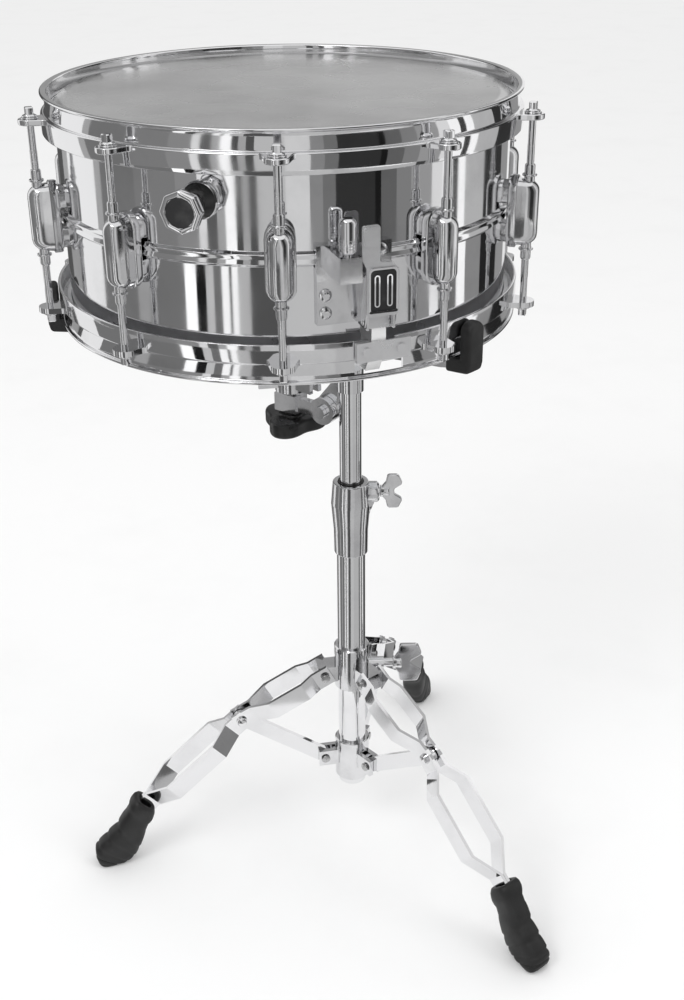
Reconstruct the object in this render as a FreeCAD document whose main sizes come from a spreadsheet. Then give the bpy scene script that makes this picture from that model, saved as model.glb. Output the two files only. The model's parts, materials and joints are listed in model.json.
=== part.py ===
import FreeCAD, Part
import os
import re
from math import sqrt

import Sketcher

# A 14 by 6.5 inch steel snare drum on its folding basket stand.
# Millimetres, Z up, floor at Z = 0, origin on the floor under the middle of the whole object.
# "Azimuth" is counted on the drum from its front (-Y) toward +X.

sizes = {
    # where the stand's column is, and how the drum sits beside it
    "column_x": 39.96,
    "column_y": -20.25,
    "tilter_reach": 61,
    "tilt_heading": 145,
    "rest_height": 532.8,
    # shell
    "shell_radius": 177,
    "shell_height": 165,
    "shell_wall": 1.2,
    "bead_half": 5.5,
    "bead_height": 3.5,
    "edge_roll": 4,
    "edge_lip": 1.7,
    # heads
    "film": 0.4,
    "collar_drop": 11,
    "flesh_width": 3,
    "flesh_height": 7,
    # hoops
    "hoop_wall": 2.3,
    "hoop_gap": 3.9,
    "hoop_depth": 6,
    "rim_rise": 7.5,
    "ledge_drop": 8,
    "skirt_drop": 23,
    "ear_thick": 3.5,
    "ear_half": 9,
    # lugs and tension rods
    "rod_out": 19,
    "rod_radius": 2.7,
    "lug_half_width": 11,
    "lug_half_height": 28,
    "lug_depth": 27,
    "lug_gap": 4.2,
    "lug_screw_rise": 17,
    "lug_screw_radius": 2.4,
    "sleeve_radius": 4,
    "sleeve_out": 9,
    "rod_reach": 8,
    "washer_thick": 1.2,
    "key_collar": 1.8,
    "key_head": 5.3,
    "key_half": 3,
    # strainer, straps and snares
    "strap_lead": 3,
    "lever_set": 1.365,
    "lever_out": 15,
    "lever_pivot_z": -44,
    "lever_half": 12,
    "strap_half": 5.5,
    "strap_thick": 0.6,
    "strap_out": 11.5,
    "tension_out": 18,
    "tension_shift": 15,
    "butt_out": 11.2,
    "butt_screw_shift": 14,
    "butt_screw_z": -40,
    "gate_half": 21,
    "wire_inset": 31,
    "wire_radius": 0.8,
    "wire_pitch": 2.1,
    # muffler
    "muffler_z": 40,
    "muffler_travel": 3.5,
    "muffler_shaft": 3,
    "muffler_arm_in": 10.5,
    "pad_in": 19,
    "pad_length": 32,
    "pad_height": 8.5,
    "vent_z": 20,
    # stand tubes
    "base_tube_radius": 12.7,
    "base_tube_wall": 1.6,
    "base_tube_bottom": 64,
    "base_tube_top": 340,
    "height_tube_radius": 9.525,
    "height_tube_wall": 1.5,
    "height_tube_bottom": 150,
    "fit": 0.05,
    "seat": 0.3,
    # collars and clamp
    "lower_collar_z": 70.5,
    "lower_collar_height": 42.5,
    "leg_collar_z": 172.7,
    "leg_collar_height": 44,
    "collar_wall": 3.3,
    "clamp_z": 314,
    "clamp_height": 68.6,
    "clamp_screw_radius": 3,
    "leg_screw_radius": 4,
    # legs: heights and radii of the pivots in the leg's own plane
    "pivot_radius": 27,
    "leg_pivot_z": 190,
    "strut_pivot_z": 94,
    "pinch_radius": 105,
    "pinch_z": 148,
    "foot_radius": 198,
    "foot_z": 63,
    "strap_width": 18,
    "leg_strap": 3,
    "upper_lobe": 17,
    "lower_lobe": 20,
    "pinch_half": 5,
    "strut_width": 14,
    "strut_thick": 5,
    "pin_radius": 2.5,
    # tilter and basket
    "tilt_axis_z": 444,
    "tilt_axis_out": 36,
    "disc_radius": 12,
    "tilter_bolt_radius": 3,
    "disc_thick": 6.85,
    "tooth_gap": 0.15,
    "head_ring_z": 467.6,
    "head_top": 488,
    "basket_rod_radius": 4,
    "arm_pivot_radius": 24,
    "arm_pivot_z": 466,
    "arm_half": 2.9,
    "grip_half": 8.6,
    "grip_wall": 10.5,
    "grip_rise": 29.2,
}

derived = {
    "drum_x": "=column_x + tilter_reach * cos(tilt_heading)",
    "drum_y": "=column_y + tilter_reach * sin(tilt_heading)",
    "half": "=shell_height / 2",
    "drum_z": "=rest_height + rim_rise + half",
    "ledge": "=half - ledge_drop",
    "skirt": "=half - skirt_drop",
    "head_radius": "=shell_radius + seat",
    "hoop_inner": "=shell_radius + hoop_gap",
    "hoop_outer": "=hoop_inner + hoop_depth",
    "rod_circle": "=shell_radius + rod_out",
    "lever_pivot_r": "=shell_radius + lever_out",
    "strap_rise_r": "=shell_radius + strap_out",
    "lever_shift": "=strap_rise_r * sin(strap_lead) - lever_set",
    "tension_r": "=shell_radius + tension_out",
    "wire_half_length": "=shell_radius - wire_inset",
    "muffler_arm_r": "=shell_radius - muffler_arm_in",
    "pad_r": "=shell_radius - pad_in",
    "ear_bottom": "=ledge - ear_thick",
    "lug_face": "=shell_radius + lug_depth",
    "bore": "=base_tube_radius + fit",
    "collar_radius": "=bore + collar_wall",
    "column_bore": "=height_tube_radius + fit",
    "hoop_floor": "=rest_height - seat",
    "claw_inner": "=hoop_outer + seat * 2",
    "claw_outer": "=claw_inner + grip_wall",
}

azimuths = {
    "strainer": 18,
    "strap": 18 + sizes["strap_lead"],
    "gate": 22,
    "muffler": -17.6,
    "vent": 126,
}
lug_count = 10
leg_headings = (190, 310, 70)
arm_azimuths = (-82, 46, 163)
tilt_heading = sizes["tilt_heading"]

os.makedirs("parts", exist_ok=True)
doc = FreeCAD.newDocument("snare_drum")
sheet = doc.addObject("Spreadsheet::Sheet", "Sizes")
nodes = []


def fill_sheet():
    for row, (alias, value) in enumerate({**sizes, **derived}.items(), start=1):
        sheet.set("A%d" % row, alias)
        sheet.set("B%d" % row, str(value))
        sheet.setAlias("B%d" % row, alias)
    doc.recompute()


def bound(text):
    """Point each size named in the text at its cell."""
    def cell(found):
        word = found.group(0)
        return "Sizes." + word if word in sizes or word in derived else word
    return re.sub(r"[a-z][a-z_]+", cell, str(text))


fill_sheet()
gauge = doc.addObject("App::FeaturePython", "Gauge")
gauge.addProperty("App::PropertyFloat", "Reading")


def number(text):
    gauge.setExpression("Reading", bound(text))
    gauge.recompute()
    return gauge.Reading


def turn(angle, axis=(0, 0, 1)):
    return FreeCAD.Rotation(FreeCAD.Vector(*axis), angle)


facing = {"X": turn(90, (0, 1, 0)), "Y": turn(-90, (1, 0, 0)), "Z": turn(0)}


def place(item, x=0, y=0, z=0, rotation=None):
    item.Placement = FreeCAD.Placement(FreeCAD.Vector(0, 0, 0), rotation or turn(0))
    for axis, value in (("x", x), ("y", y), ("z", z)):
        item.setExpression(".Placement.Base." + axis, bound(value))
    return item


def rod(name, radius, height, x=0, y=0, z=0, axis="Z"):
    item = doc.addObject("Part::Cylinder", name)
    item.setExpression("Radius", bound(radius))
    item.setExpression("Height", bound(height))
    return place(item, x, y, z, facing[axis])


def taper(name, radii, height, x=0, y=0, z=0, axis="Z"):
    item = doc.addObject("Part::Cone", name)
    item.setExpression("Radius1", bound(radii[0]))
    item.setExpression("Radius2", bound(radii[1]))
    item.setExpression("Height", bound(height))
    return place(item, x, y, z, facing[axis])


def block(name, along_x, along_y, along_z):
    item = doc.addObject("Part::Box", name)
    for side, (low, high) in (("Length", along_x), ("Width", along_y), ("Height", along_z)):
        item.setExpression(side, bound("(%s) - (%s)" % (high, low)))
    return place(item, along_x[0], along_y[0], along_z[0])


def outline(body, plane, corners):
    """A closed sketch; a third value on a corner makes the line to it an arc of that radius."""
    sketch = body.newObject("Sketcher::SketchObject", body.Name + "_outline")
    support = next(item for item in body.Origin.OriginFeatures if item.Role == plane + "_Plane")
    sketch.AttachmentSupport = (support, [""])
    sketch.MapMode = "FlatFace"
    spots = [FreeCAD.Vector(number(corner[0]), number(corner[1]), 0) for corner in corners]
    for index, start in enumerate(spots):
        end = spots[(index + 1) % len(spots)]
        arc = corners[(index + 1) % len(spots)][2:]
        if arc:
            sketch.addGeometry(arc_between(start, end, number(arc[0])))
        else:
            sketch.addGeometry(Part.LineSegment(start, end))
    for index, start in enumerate(spots):
        following = (index + 1) % len(spots)
        join_at(sketch, index, following, spots[following])
        pin_corner(sketch, index, start, corners[index])
        arc = corners[following][2:]
        if arc:
            radius = sketch.addConstraint(Sketcher.Constraint("Radius", index, abs(number(arc[0]))))
            sketch.setExpression("Constraints[%d]" % radius, bound("abs(%s)" % arc[0]))
    return sketch


def arc_between(start, end, radius):
    """A short arc; a positive radius bulges to the right of the way from start to end."""
    middle = (start + end) * 0.5
    chord = end - start
    half_chord = chord.Length / 2
    depth = abs(radius) - sqrt(max(radius * radius - half_chord * half_chord, 0))
    side = FreeCAD.Vector(chord.y, -chord.x, 0).normalize() * (depth if radius > 0 else -depth)
    return Part.Arc(start, middle + side, end)


def end_number(sketch, index, spot):
    return 1 if (sketch.getPoint(index, 1) - spot).Length < (sketch.getPoint(index, 2) - spot).Length else 2


def join_at(sketch, index, following, spot):
    ends = (end_number(sketch, index, spot), end_number(sketch, following, spot))
    sketch.addConstraint(Sketcher.Constraint("Coincident", index, ends[0], following, ends[1]))


def pin_corner(sketch, index, spot, corner):
    end = end_number(sketch, index, spot)
    for kind, value, text, axis in (("DistanceX", spot.x, corner[0], -2),
                                    ("DistanceY", spot.y, corner[1], -1)):
        if abs(value) < 1e-9:
            sketch.addConstraint(Sketcher.Constraint("PointOnObject", index, end, axis))
        else:
            place_of = sketch.addConstraint(Sketcher.Constraint(kind, index, end, value))
            sketch.setExpression("Constraints[%d]" % place_of, bound(text))


def turned(name, corners, x=0, y=0, z=0, axis="Z"):
    """A body turned round its own axis from an outline of (radius, height) corners."""
    body = doc.addObject("PartDesign::Body", name)
    sketch = outline(body, "XZ", corners)
    revolution = body.newObject("PartDesign::Revolution", name + "_turned")
    revolution.Profile = sketch
    revolution.ReferenceAxis = (sketch, ["V_Axis"])
    revolution.Angle = 360
    body.Tip = revolution
    return place(body, x, y, z, facing[axis])


def prism(name, plane, corners, low, high):
    """A body padded from low to high along the plane's normal axis."""
    body = doc.addObject("PartDesign::Body", name)
    sketch = outline(body, plane, corners)
    pad = body.newObject("PartDesign::Pad", name + "_pad")
    pad.Profile = sketch
    pad.setExpression("Length", bound("(%s) - (%s)" % (high, low)))
    body.Tip = pad
    shift = {"XY": (0, 0, low), "XZ": (0, high, 0), "YZ": (low, 0, 0)}[plane]
    return place(body, *shift)


def join(name, *items):
    item = doc.addObject("Part::MultiFuse", name)
    item.Shapes = list(items)
    return item


def group(name, *items):
    item = doc.addObject("Part::Compound", name)
    item.Links = list(items)
    return item


def carve(name, base, *tools):
    item = doc.addObject("Part::Cut", name)
    item.Base = base
    item.Tool = tools[0] if len(tools) == 1 else group(name + "_tools", *tools)
    return item


def copy(item, rotation, shift=(0, 0, 0)):
    link = doc.addObject("App::Link", item.Name + "_copy")
    link.LinkedObject = item
    link.LinkTransform = True
    link.Placement = FreeCAD.Placement(FreeCAD.Vector(*shift), rotation)
    return link


def ring_of(item, angles):
    return [copy(item, turn(angle)) for angle in angles]


def lug_ring(item):
    step = 360 / lug_count
    return ring_of(item, [step * index - 90 for index in range(lug_count)])


def flipped(item):
    return copy(item, turn(180, (1, 0, 0)))


def node(label, item, frame):
    item.Label = label
    nodes.append(place(item, *frame))


def on_drum(azimuth=90):
    return "drum_x", "drum_y", "drum_z", turn(azimuth - 90)


def on_column(heading=0):
    return "column_x", "column_y", 0, turn(heading)


def on_basket(heading=tilt_heading):
    return "drum_x", "drum_y", 0, turn(heading)


# ---- drum: shell, heads and hoops


def lug_holes(name):
    height = "shell_wall + 6"
    rises = {"upper": "lug_screw_rise", "lower": "-lug_screw_rise"}
    return group(name, *[rod("%s_%s" % (name, side), "lug_screw_radius + fit", height, "shell_radius - 5", 0,
                             rise, "X") for side, rise in rises.items()])


def make_shell():
    top = [
        ("shell_radius", "half - edge_roll"),
        ("shell_radius - edge_roll", "half"),
        ("shell_radius - edge_roll - edge_lip", "half"),
        ("shell_radius - shell_wall", "half - edge_roll - edge_lip + shell_wall"),
    ]
    bottom = [(across, "-(%s)" % up) for across, up in reversed(top)]
    bead_radius = "(bead_half ^ 2 + bead_height ^ 2) / (2 * bead_height)"
    bead = [("shell_radius", "-bead_half"), ("shell_radius", "bead_half", bead_radius)]
    wall = turned("shell_wall_ring", bottom + bead + top)
    vent = rod("vent_hole", "4 + fit", 12, "shell_radius - 6", 0, "vent_z", "X")
    shaft = rod("muffler_hole", "muffler_shaft + 2", 12, "shell_radius - 6", 0, "muffler_z", "X")
    screws = strainer_screw_holes("strainer_screw_holes")
    butt = butt_screw_holes("butt_screw_holes")
    tools = lug_ring(lug_holes("lug_hole"))
    tools.append(copy(vent, turn(azimuths["vent"] - 90)))
    tools.append(copy(shaft, turn(azimuths["muffler"] - 90)))
    tools.append(copy(screws, turn(azimuths["strainer"] - 90)))
    tools.append(copy(butt, turn(azimuths["strap"] + 90)))
    node("shell", carve("shell", wall, *tools), on_drum())


def head_outline():
    inside = "head_radius"
    outside = "head_radius + film"
    return [
        (0, "half"),
        ("shell_radius - edge_roll + 1", "half"),
        (inside, "half - edge_roll"),
        (inside, "half - collar_drop"),
        (outside, "half - collar_drop"),
        (outside, "half - edge_roll + film"),
        ("shell_radius - edge_roll + 1 + film", "half + film"),
        (0, "half + film"),
    ]


def make_heads():
    film = turned("head_film", head_outline())
    ring = turned("flesh_ring", [
        ("head_radius + film", "half - collar_drop - 1"),
        ("head_radius + film + flesh_width", "half - collar_drop - 1"),
        ("head_radius + film + flesh_width", "half - collar_drop - 1 + flesh_height / 2"),
        ("hoop_inner - seat", "half - collar_drop - 1 + flesh_height / 2"),
        ("hoop_inner - seat", "half - collar_drop - 1 + flesh_height"),
        ("head_radius + film", "half - collar_drop - 1 + flesh_height"),
    ])
    node("batter_head", group("batter_head", film), on_drum())
    node("snare_side_head", group("snare_side_head", flipped(film)), on_drum())
    node("batter_flesh_hoop", group("batter_flesh_hoop", ring), on_drum())
    node("snare_side_flesh_hoop", group("snare_side_flesh_hoop", flipped(ring)), on_drum())


def rim_solid():
    """The pressed triple-flanged hoop with its ten ears, for the upper side."""
    top = "half + rim_rise"
    skin = turned("rim_ring", [
        ("hoop_inner", "ledge - hoop_wall"),
        ("hoop_outer - hoop_wall", "ledge - hoop_wall"),
        ("hoop_outer - hoop_wall", "skirt"),
        ("hoop_outer", "skirt"),
        ("hoop_outer", "ledge - 2"),
        ("hoop_outer - 2", "ledge", 2),
        ("hoop_inner + hoop_wall", "ledge"),
        ("hoop_inner + hoop_wall", top + " - hoop_wall"),
        ("hoop_outer - 1", top + " - hoop_wall"),
        ("hoop_outer - 1", top, "hoop_wall / 2 + 0.001"),
        ("hoop_inner + 1.5", top),
        ("hoop_inner", top + " - 1.5", -1.5),
    ])
    ear = prism("rim_ear", "XY", [
        ("hoop_outer - hoop_wall + 0.5", "-ear_half - 1"),
        ("rod_circle", "-ear_half"),
        ("rod_circle + ear_half", 0, "ear_half"),
        ("rod_circle", "ear_half", "ear_half"),
        ("hoop_outer - hoop_wall + 0.5", "ear_half + 1"),
    ], "ear_bottom", "ledge")
    hole = rod("ear_hole", "rod_radius + 0.5", "ear_thick + 8", "rod_circle", 0, "ear_bottom - 4")
    whole = join("rim_with_ears", skin, *lug_ring(ear))
    return carve("rim", whole, *lug_ring(hole))


def gate_cut():
    through = ("shell_radius - 7", "hoop_outer + 28")
    skirt_notch = block("gate_notch", through, ("-gate_half / 2", "gate_half / 2"),
                        ("-ledge - 2", "-skirt + 5"))
    wall_notch = block("gate_window", through, ("-gate_half + 2", "gate_half - 2"),
                       ("-half - rim_rise + 3", "-ledge"))
    return group("gate_cut", skirt_notch, wall_notch)


def make_hoops():
    rim = rim_solid()
    node("batter_hoop", group("batter_hoop", rim), on_drum())
    gate = gate_cut()
    gates = ring_of(gate, (azimuths["gate"] - 90, azimuths["gate"] + 90))
    node("snare_side_hoop", carve("snare_side_hoop", flipped(rim), *gates), on_drum())


# ---- drum: lugs and tension rods


def lug_cap():
    straight = "(lug_half_height - lug_half_width)"
    return prism("lug_cap", "YZ", [
        ("lug_half_width", "-" + straight, "lug_half_width"),
        ("lug_half_width", straight),
        (0, "lug_half_height", "lug_half_width"),
        ("-lug_half_width", straight, "lug_half_width"),
        ("-lug_half_width", "-" + straight),
        (0, "-lug_half_height", "lug_half_width"),
    ], "shell_radius + lug_gap", "lug_face")


def make_lugs():
    """Each lug stands on two feet that bridge the shell's bead."""
    depth = ("shell_radius - 3", "shell_radius + lug_gap + 1")
    width = ("-lug_half_width + 2", "lug_half_width - 2")
    upper = block("lug_foot_upper", depth, width, ("bead_half + 2", "lug_half_height - 4"))
    lower = block("lug_foot_lower", depth, width, ("-lug_half_height + 4", "-bead_half - 2"))
    solid = join("lug_solid", lug_cap(), upper, lower)
    seat = rod("lug_seat", "shell_radius + fit", 80, 0, 0, -40)
    bore = rod("lug_bore", "sleeve_radius + fit", "2 * lug_half_height + 4", "rod_circle", 0,
               "-lug_half_height - 2")
    reach = "lug_gap + 8"
    high = rod("lug_tap_high", "lug_screw_radius + fit", reach, "shell_radius - 2", 0, "lug_screw_rise", "X")
    low = rod("lug_tap_low", "lug_screw_radius + fit", reach, "shell_radius - 2", 0, "-lug_screw_rise", "X")
    lug = carve("lug", solid, seat, bore, high, low)
    node("lugs", group("lugs", *lug_ring(lug)), on_drum())


def lug_screw(name, height):
    start = "shell_radius - shell_wall - seat"
    shank = rod(name + "_shank", "lug_screw_radius", "shell_wall + seat + lug_gap + 4", start, 0, height, "X")
    head = rod(name + "_head", 5, 3, start + " - 3", 0, height, "X")
    return join(name, shank, head)


def make_lug_screws():
    pair = group("lug_screw_pair", lug_screw("lug_screw_high", "lug_screw_rise"),
                 lug_screw("lug_screw_low", "-lug_screw_rise"))
    node("lug_screws", group("lug_screws", *lug_ring(pair)), on_drum())


def make_swivel_nuts():
    bottom = "lug_half_height - 14"
    barrel = rod("sleeve_barrel", "sleeve_radius", "14 + sleeve_out", "rod_circle", 0, bottom)
    thread = rod("sleeve_thread", "rod_radius + fit", "18 + sleeve_out", "rod_circle", 0, bottom + " - 2")
    sleeve = carve("sleeve", barrel, thread)
    pair = group("sleeve_pair", sleeve, flipped(sleeve))
    node("swivel_nuts", group("swivel_nuts", *lug_ring(pair)), on_drum())


def make_tension_rods():
    """Square-headed key rods, from the ear down into the swivel nut."""
    seat_z = "ledge + washer_thick"
    tip = "lug_half_height - rod_reach"
    shank = rod("rod_shank", "rod_radius", "(%s) - (%s)" % (seat_z, tip), "rod_circle", 0, tip)
    collar = rod("rod_collar", 5.5, "key_collar", "rod_circle", 0, seat_z)
    head = block("rod_head", ("rod_circle - key_half", "rod_circle + key_half"), ("-key_half", "key_half"),
                 (seat_z + " + key_collar", seat_z + " + key_collar + key_head"))
    whole = join("tension_rod", shank, collar, head)
    node("batter_tension_rods", group("batter_tension_rods", *lug_ring(whole)), on_drum())
    low = flipped(whole)
    node("snare_side_tension_rods", group("snare_side_tension_rods", *lug_ring(low)), on_drum())
    disc = rod("washer_disc", 6.5, "washer_thick", "rod_circle", 0, "ledge")
    hole = rod("washer_hole", "rod_radius + 0.3", "washer_thick + 2", "rod_circle", 0, "ledge - 1")
    washer = carve("washer", disc, hole)
    pair = group("washer_pair", washer, flipped(washer))
    node("rod_washers", group("rod_washers", *lug_ring(pair)), on_drum())


def make_air_vent():
    tube = rod("vent_tube", 4, 6, "shell_radius - 4", 0, "vent_z", "X")
    flange = rod("vent_flange", 8, 1.6, "shell_radius + seat", 0, "vent_z", "X")
    hole = rod("vent_bore", 2.6, 12, "shell_radius - 7", 0, "vent_z", "X")
    node("air_vent", carve("air_vent", join("vent_body", tube, flange), hole), on_drum(azimuths["vent"]))


# ---- drum: strainer, butt plate, snares and muffler


def strainer_spots():
    return ((-27, -25), (-27, -38), (14, 4))


def strainer_screw_holes(name):
    holes = [rod("%s_%d" % (name, index), "lug_screw_radius + fit", 16, "shell_radius - 12", across, up, "X")
             for index, (across, up) in enumerate(strainer_spots())]
    return group(name, *holes)


def make_strainer_base():
    middle = "lever_shift"
    plate = block("strainer_plate", ("shell_radius - 6", "shell_radius + 4"), (-33, 22), (-47, 10))
    cheek = ("shell_radius + 2", "lever_pivot_r + 5")
    inner = "lever_half - 3"
    left = block("strainer_cheek_left", cheek, (middle + " - lever_half + 1.3", middle + " - (%s)" % inner),
                 ("lever_pivot_z - 5", -12))
    right = block("strainer_cheek_right", cheek, (middle + " + " + inner, middle + " + lever_half - 1.3"),
                  ("lever_pivot_z - 5", -12))
    boss = block("strainer_boss", ("shell_radius + 2", "tension_r + 7"),
                 ("-tension_shift - 8", "-tension_shift + 8"), (-12, 6))
    solid = join("strainer_solid", plate, left, right, boss)
    back = rod("strainer_back", "shell_radius + fit", 90, 0, 0, -60)
    bead = rod("strainer_bead_relief", "shell_radius + bead_height + fit", "2 * bead_half + 1", 0, 0,
               "-bead_half - 0.5")
    pin = rod("strainer_pin_hole", "pin_radius + fit", 60, "lever_pivot_r", -20, "lever_pivot_z", "Y")
    thread = rod("strainer_thread", "pin_radius + fit", 30, "tension_r", "-tension_shift", -20)
    holes = strainer_screw_holes("strainer_plate_holes")
    base = carve("strainer_base", solid, back, bead, pin, thread, holes)
    node("strainer_base", base, on_drum(azimuths["strainer"]))


def strainer_screw(index, across, up):
    shank = rod("strainer_shank_%d" % index, "lug_screw_radius", 14, "shell_radius - 9.7", across, up, "X")
    head = rod("strainer_head_%d" % index, 4.5, 2.2, "shell_radius + 4.2", across, up, "X")
    return join("strainer_screw_%d" % index, shank, head)


def make_strainer():
    make_strainer_base()
    frame = on_drum(azimuths["strainer"])
    screws = [strainer_screw(index, *spot) for index, spot in enumerate(strainer_spots())]
    node("strainer_screws", group("strainer_screws", *screws), frame)
    near = "lever_shift - lever_half"
    far = "lever_shift + lever_half"
    front = ("lever_pivot_r + 7", "lever_pivot_r + 10")
    plate = block("lever_plate", front, (near, far), (-38, 0))
    tab = block("lever_tab", front, (-6.5, 6.5), (-1, 27))
    arm = ("lever_pivot_r - 4", "lever_pivot_r + 8")
    left = block("lever_arm_left", arm, (near, near + " + 1.2"), ("lever_pivot_z - 4", -8))
    right = block("lever_arm_right", arm, (far + " - 1.2", far), ("lever_pivot_z - 4", -8))
    pin_left = rod("lever_pin_left", "pin_radius", 2.8, "lever_pivot_r", near + " + 0.2", "lever_pivot_z", "Y")
    pin_right = rod("lever_pin_right", "pin_radius", 2.8, "lever_pivot_r", far + " - 3", "lever_pivot_z", "Y")
    slots = [block("lever_slot_%d" % index, ("lever_pivot_r + 8.5", "lever_pivot_r + 12"), span, (-34, -5))
             for index, span in enumerate((("lever_shift - 7.5", "lever_shift - 1.5"),
                                           ("lever_shift + 1.5", "lever_shift + 7.5")))]
    lever = carve("strainer_lever", join("lever_solid", plate, tab, left, right, pin_left, pin_right), *slots)
    node("strainer_lever", lever, frame)
    grip = "lever_half - 3 - seat"
    slide = block("carriage_slide", ("shell_radius + 6", "strap_rise_r - 0.8"),
                  ("lever_shift - (%s)" % grip, "lever_shift + " + grip), (-50, -14))
    clamp = block("carriage_clamp", ("strap_rise_r + 1", "strap_rise_r + 2.4"),
                  ("lever_shift - 8.6", "lever_shift + 8.6"), (-50, -40))
    screw = [rod("carriage_screw_%d" % index, 0.75, 5, "strap_rise_r - 1.5", "lever_shift + %s" % side,
                 -45, "X") for index, side in enumerate((-7.85, 7.85))]
    node("strainer_carriage", join("strainer_carriage", slide, clamp, *screw), frame)
    axis = ("tension_r", "-tension_shift")
    body = rod("knob_body", 6.25, 20, *axis, 8)
    dome = taper("knob_dome", (6.25, 3), 4, *axis, 28)
    screw = rod("knob_screw", "pin_radius", 22, *axis, -12)
    node("strainer_knob", join("strainer_knob", body, dome, screw), frame)


def strap(name):
    """The snare strap from its end plate, out through the hoop's gate and up outside the shell."""
    low = "-half - film - 3.1"
    outside = "strap_rise_r + strap_thick"
    return prism(name, "XZ", [
        ("wire_half_length - 8", low),
        ("shell_radius", low),
        ("hoop_inner + 5.6", "-ledge + 5"),
        ("strap_rise_r", "-skirt + 1.5"),
        ("strap_rise_r", -42),
        (outside, -42),
        (outside, "-skirt + 1.5"),
        ("hoop_inner + 5.6 + strap_thick", "-ledge + 4.5"),
        ("shell_radius + strap_thick", low + " - strap_thick"),
        ("wire_half_length - 8", low + " - strap_thick"),
    ], "-strap_half", "strap_half")


def butt_screw_holes(name):
    return group(name, *[rod("%s_%d" % (name, side), "lug_screw_radius + fit", 16, "shell_radius - 12",
                             "butt_screw_shift * %d" % side, "butt_screw_z", "X") for side in (-1, 1)])


def make_snares():
    front = azimuths["strap"]
    node("snare_strap_front", group("snare_strap_front", strap("strap_front")), on_drum(front))
    node("snare_strap_back", group("snare_strap_back", strap("strap_back")), on_drum(front + 180))
    plate = block("butt_body", ("shell_radius - 6", "shell_radius + butt_out"), (-20, 20), (-54, -28))
    clamp = block("butt_clamp", ("strap_rise_r + strap_thick", "strap_rise_r + 2.5"), (-14, 14), (-52, -36))
    neck = [rod("butt_neck_%d" % side, 2.5, 5, "shell_radius + butt_out - 1.2", 9.5 * side, -44, "X")
            for side in (-1, 1)]
    back = rod("butt_back", "shell_radius + fit", 90, 0, 0, -80)
    body = carve("butt_seated", plate, back, butt_screw_holes("butt_plate_holes"))
    screws = [rod("butt_screw_%d" % side, "lug_screw_radius", 22, "shell_radius - 8",
                  "butt_screw_shift * %d" % side, "butt_screw_z", "X") for side in (-1, 1)]
    node("butt_plate", join("butt_plate", body, clamp, *neck, *screws), on_drum(front + 180))
    level = "-half - film - 1"
    strand = [rod("strand_%d" % index, "wire_radius", "2 * wire_half_length", "-wire_half_length",
                  "wire_pitch * %s" % (index - 9.5), level, "X") for index in range(20)]
    node("snare_wires", group("snare_wires", *strand), on_drum(front))
    deck = level + " - wire_radius - 1.1"
    plate = block("wire_plate", ("wire_half_length - 12", "wire_half_length + 3"), (-21, 21),
                  (deck, deck + " + 1"))
    node("snare_end_plates", group("snare_end_plates", plate, copy(plate, turn(180))), on_drum(front))
    height = ("-ledge", "-skirt - 0.5")
    gate = block("gate_cover", ("hoop_outer + 2.4", "hoop_outer + 4.2"), ("-gate_half", "gate_half"), height)
    posts = [block("gate_post_%d" % (side > 0), ("hoop_outer + fit", "hoop_outer + 3"), span, height)
             for side, span in ((-1, ("-gate_half", "-gate_half / 2")), (1, ("gate_half / 2", "gate_half")))]
    screws = [rod("gate_screw_%d" % (side > 0), 3.4, 1.8, "hoop_outer + 4.1", "13.4 * %d" % side,
                  "-ledge + 7.5", "X") for side in (-1, 1)]
    plates = join("gate_single", gate, *posts, *screws)
    node("gate_plates", group("gate_plates", plates, copy(plates, turn(180))), on_drum(azimuths["gate"]))


def make_muffler():
    frame = on_drum(azimuths["muffler"])
    level = "muffler_z"
    plate = rod("muffler_plate", 13.5, 9, "shell_radius - 5", 0, level, "X")
    nut = rod("muffler_nut", 8, 2.5, "shell_radius - 5.5", 0, level, "X")
    back = rod("muffler_back", "shell_radius + fit", 60, 0, 0, 10)
    hole = rod("muffler_bore", "muffler_shaft + fit", 30, "shell_radius - 12", 0, level, "X")
    outside = carve("muffler_outside", plate, back)
    sleeve = rod("muffler_sleeve", "muffler_shaft + 1.8", 9, "shell_radius - 5.5", 0, level, "X")
    mount = carve("muffler_mount", join("muffler_mount_solid", outside, nut, sleeve), hole)
    node("muffler_mount", mount, frame)
    shaft = rod("muffler_spindle", "muffler_shaft", 38, "shell_radius - 9", 0, level, "X")
    knob = rod("muffler_grip", 15, 9.7, "shell_radius + 28", 0, level, "X")
    neck = taper("muffler_neck", (7, 11), 24, "shell_radius + 4.3", 0, level, "X")
    face = rod("muffler_face", 10, 1.2, "shell_radius + 36.7", 0, level, "X")
    node("muffler_knob", join("muffler_knob", shaft, knob, neck, face), frame)
    pad_top = "half - muffler_travel - 0.5"
    pad_low = pad_top + " - pad_height"
    stem = block("muffler_stem", ("muffler_arm_r - 2", "muffler_arm_r"), (-7, 7), (level + " - 10", pad_low))
    shelf = block("muffler_shelf", ("pad_r - pad_length + 2", "muffler_arm_r"), (-7, 7),
                  (pad_low + " - 1.5", pad_low))
    node("muffler_arm", join("muffler_arm", stem, shelf), frame)
    felt = block("muffler_pad", ("pad_r - pad_length", "pad_r"), (-10, 10), (pad_low, pad_top))
    node("muffler_felt", group("muffler_felt", felt), frame)


# ---- stand: tubes, collars and clamp


def pipe(name, outer, inner, low, high):
    return turned(name, [(inner, low), (outer, low), (outer, high), (inner, high)])


def make_tubes():
    column = on_column()
    base = pipe("base_pipe", "base_tube_radius", "base_tube_radius - base_tube_wall", "base_tube_bottom",
                "base_tube_top")
    node("base_tube", group("base_tube", base), column)
    riser = pipe("riser_pipe", "height_tube_radius", "height_tube_radius - height_tube_wall",
                 "height_tube_bottom", "head_top - 3")
    node("height_tube", group("height_tube", riser), column)


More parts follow.
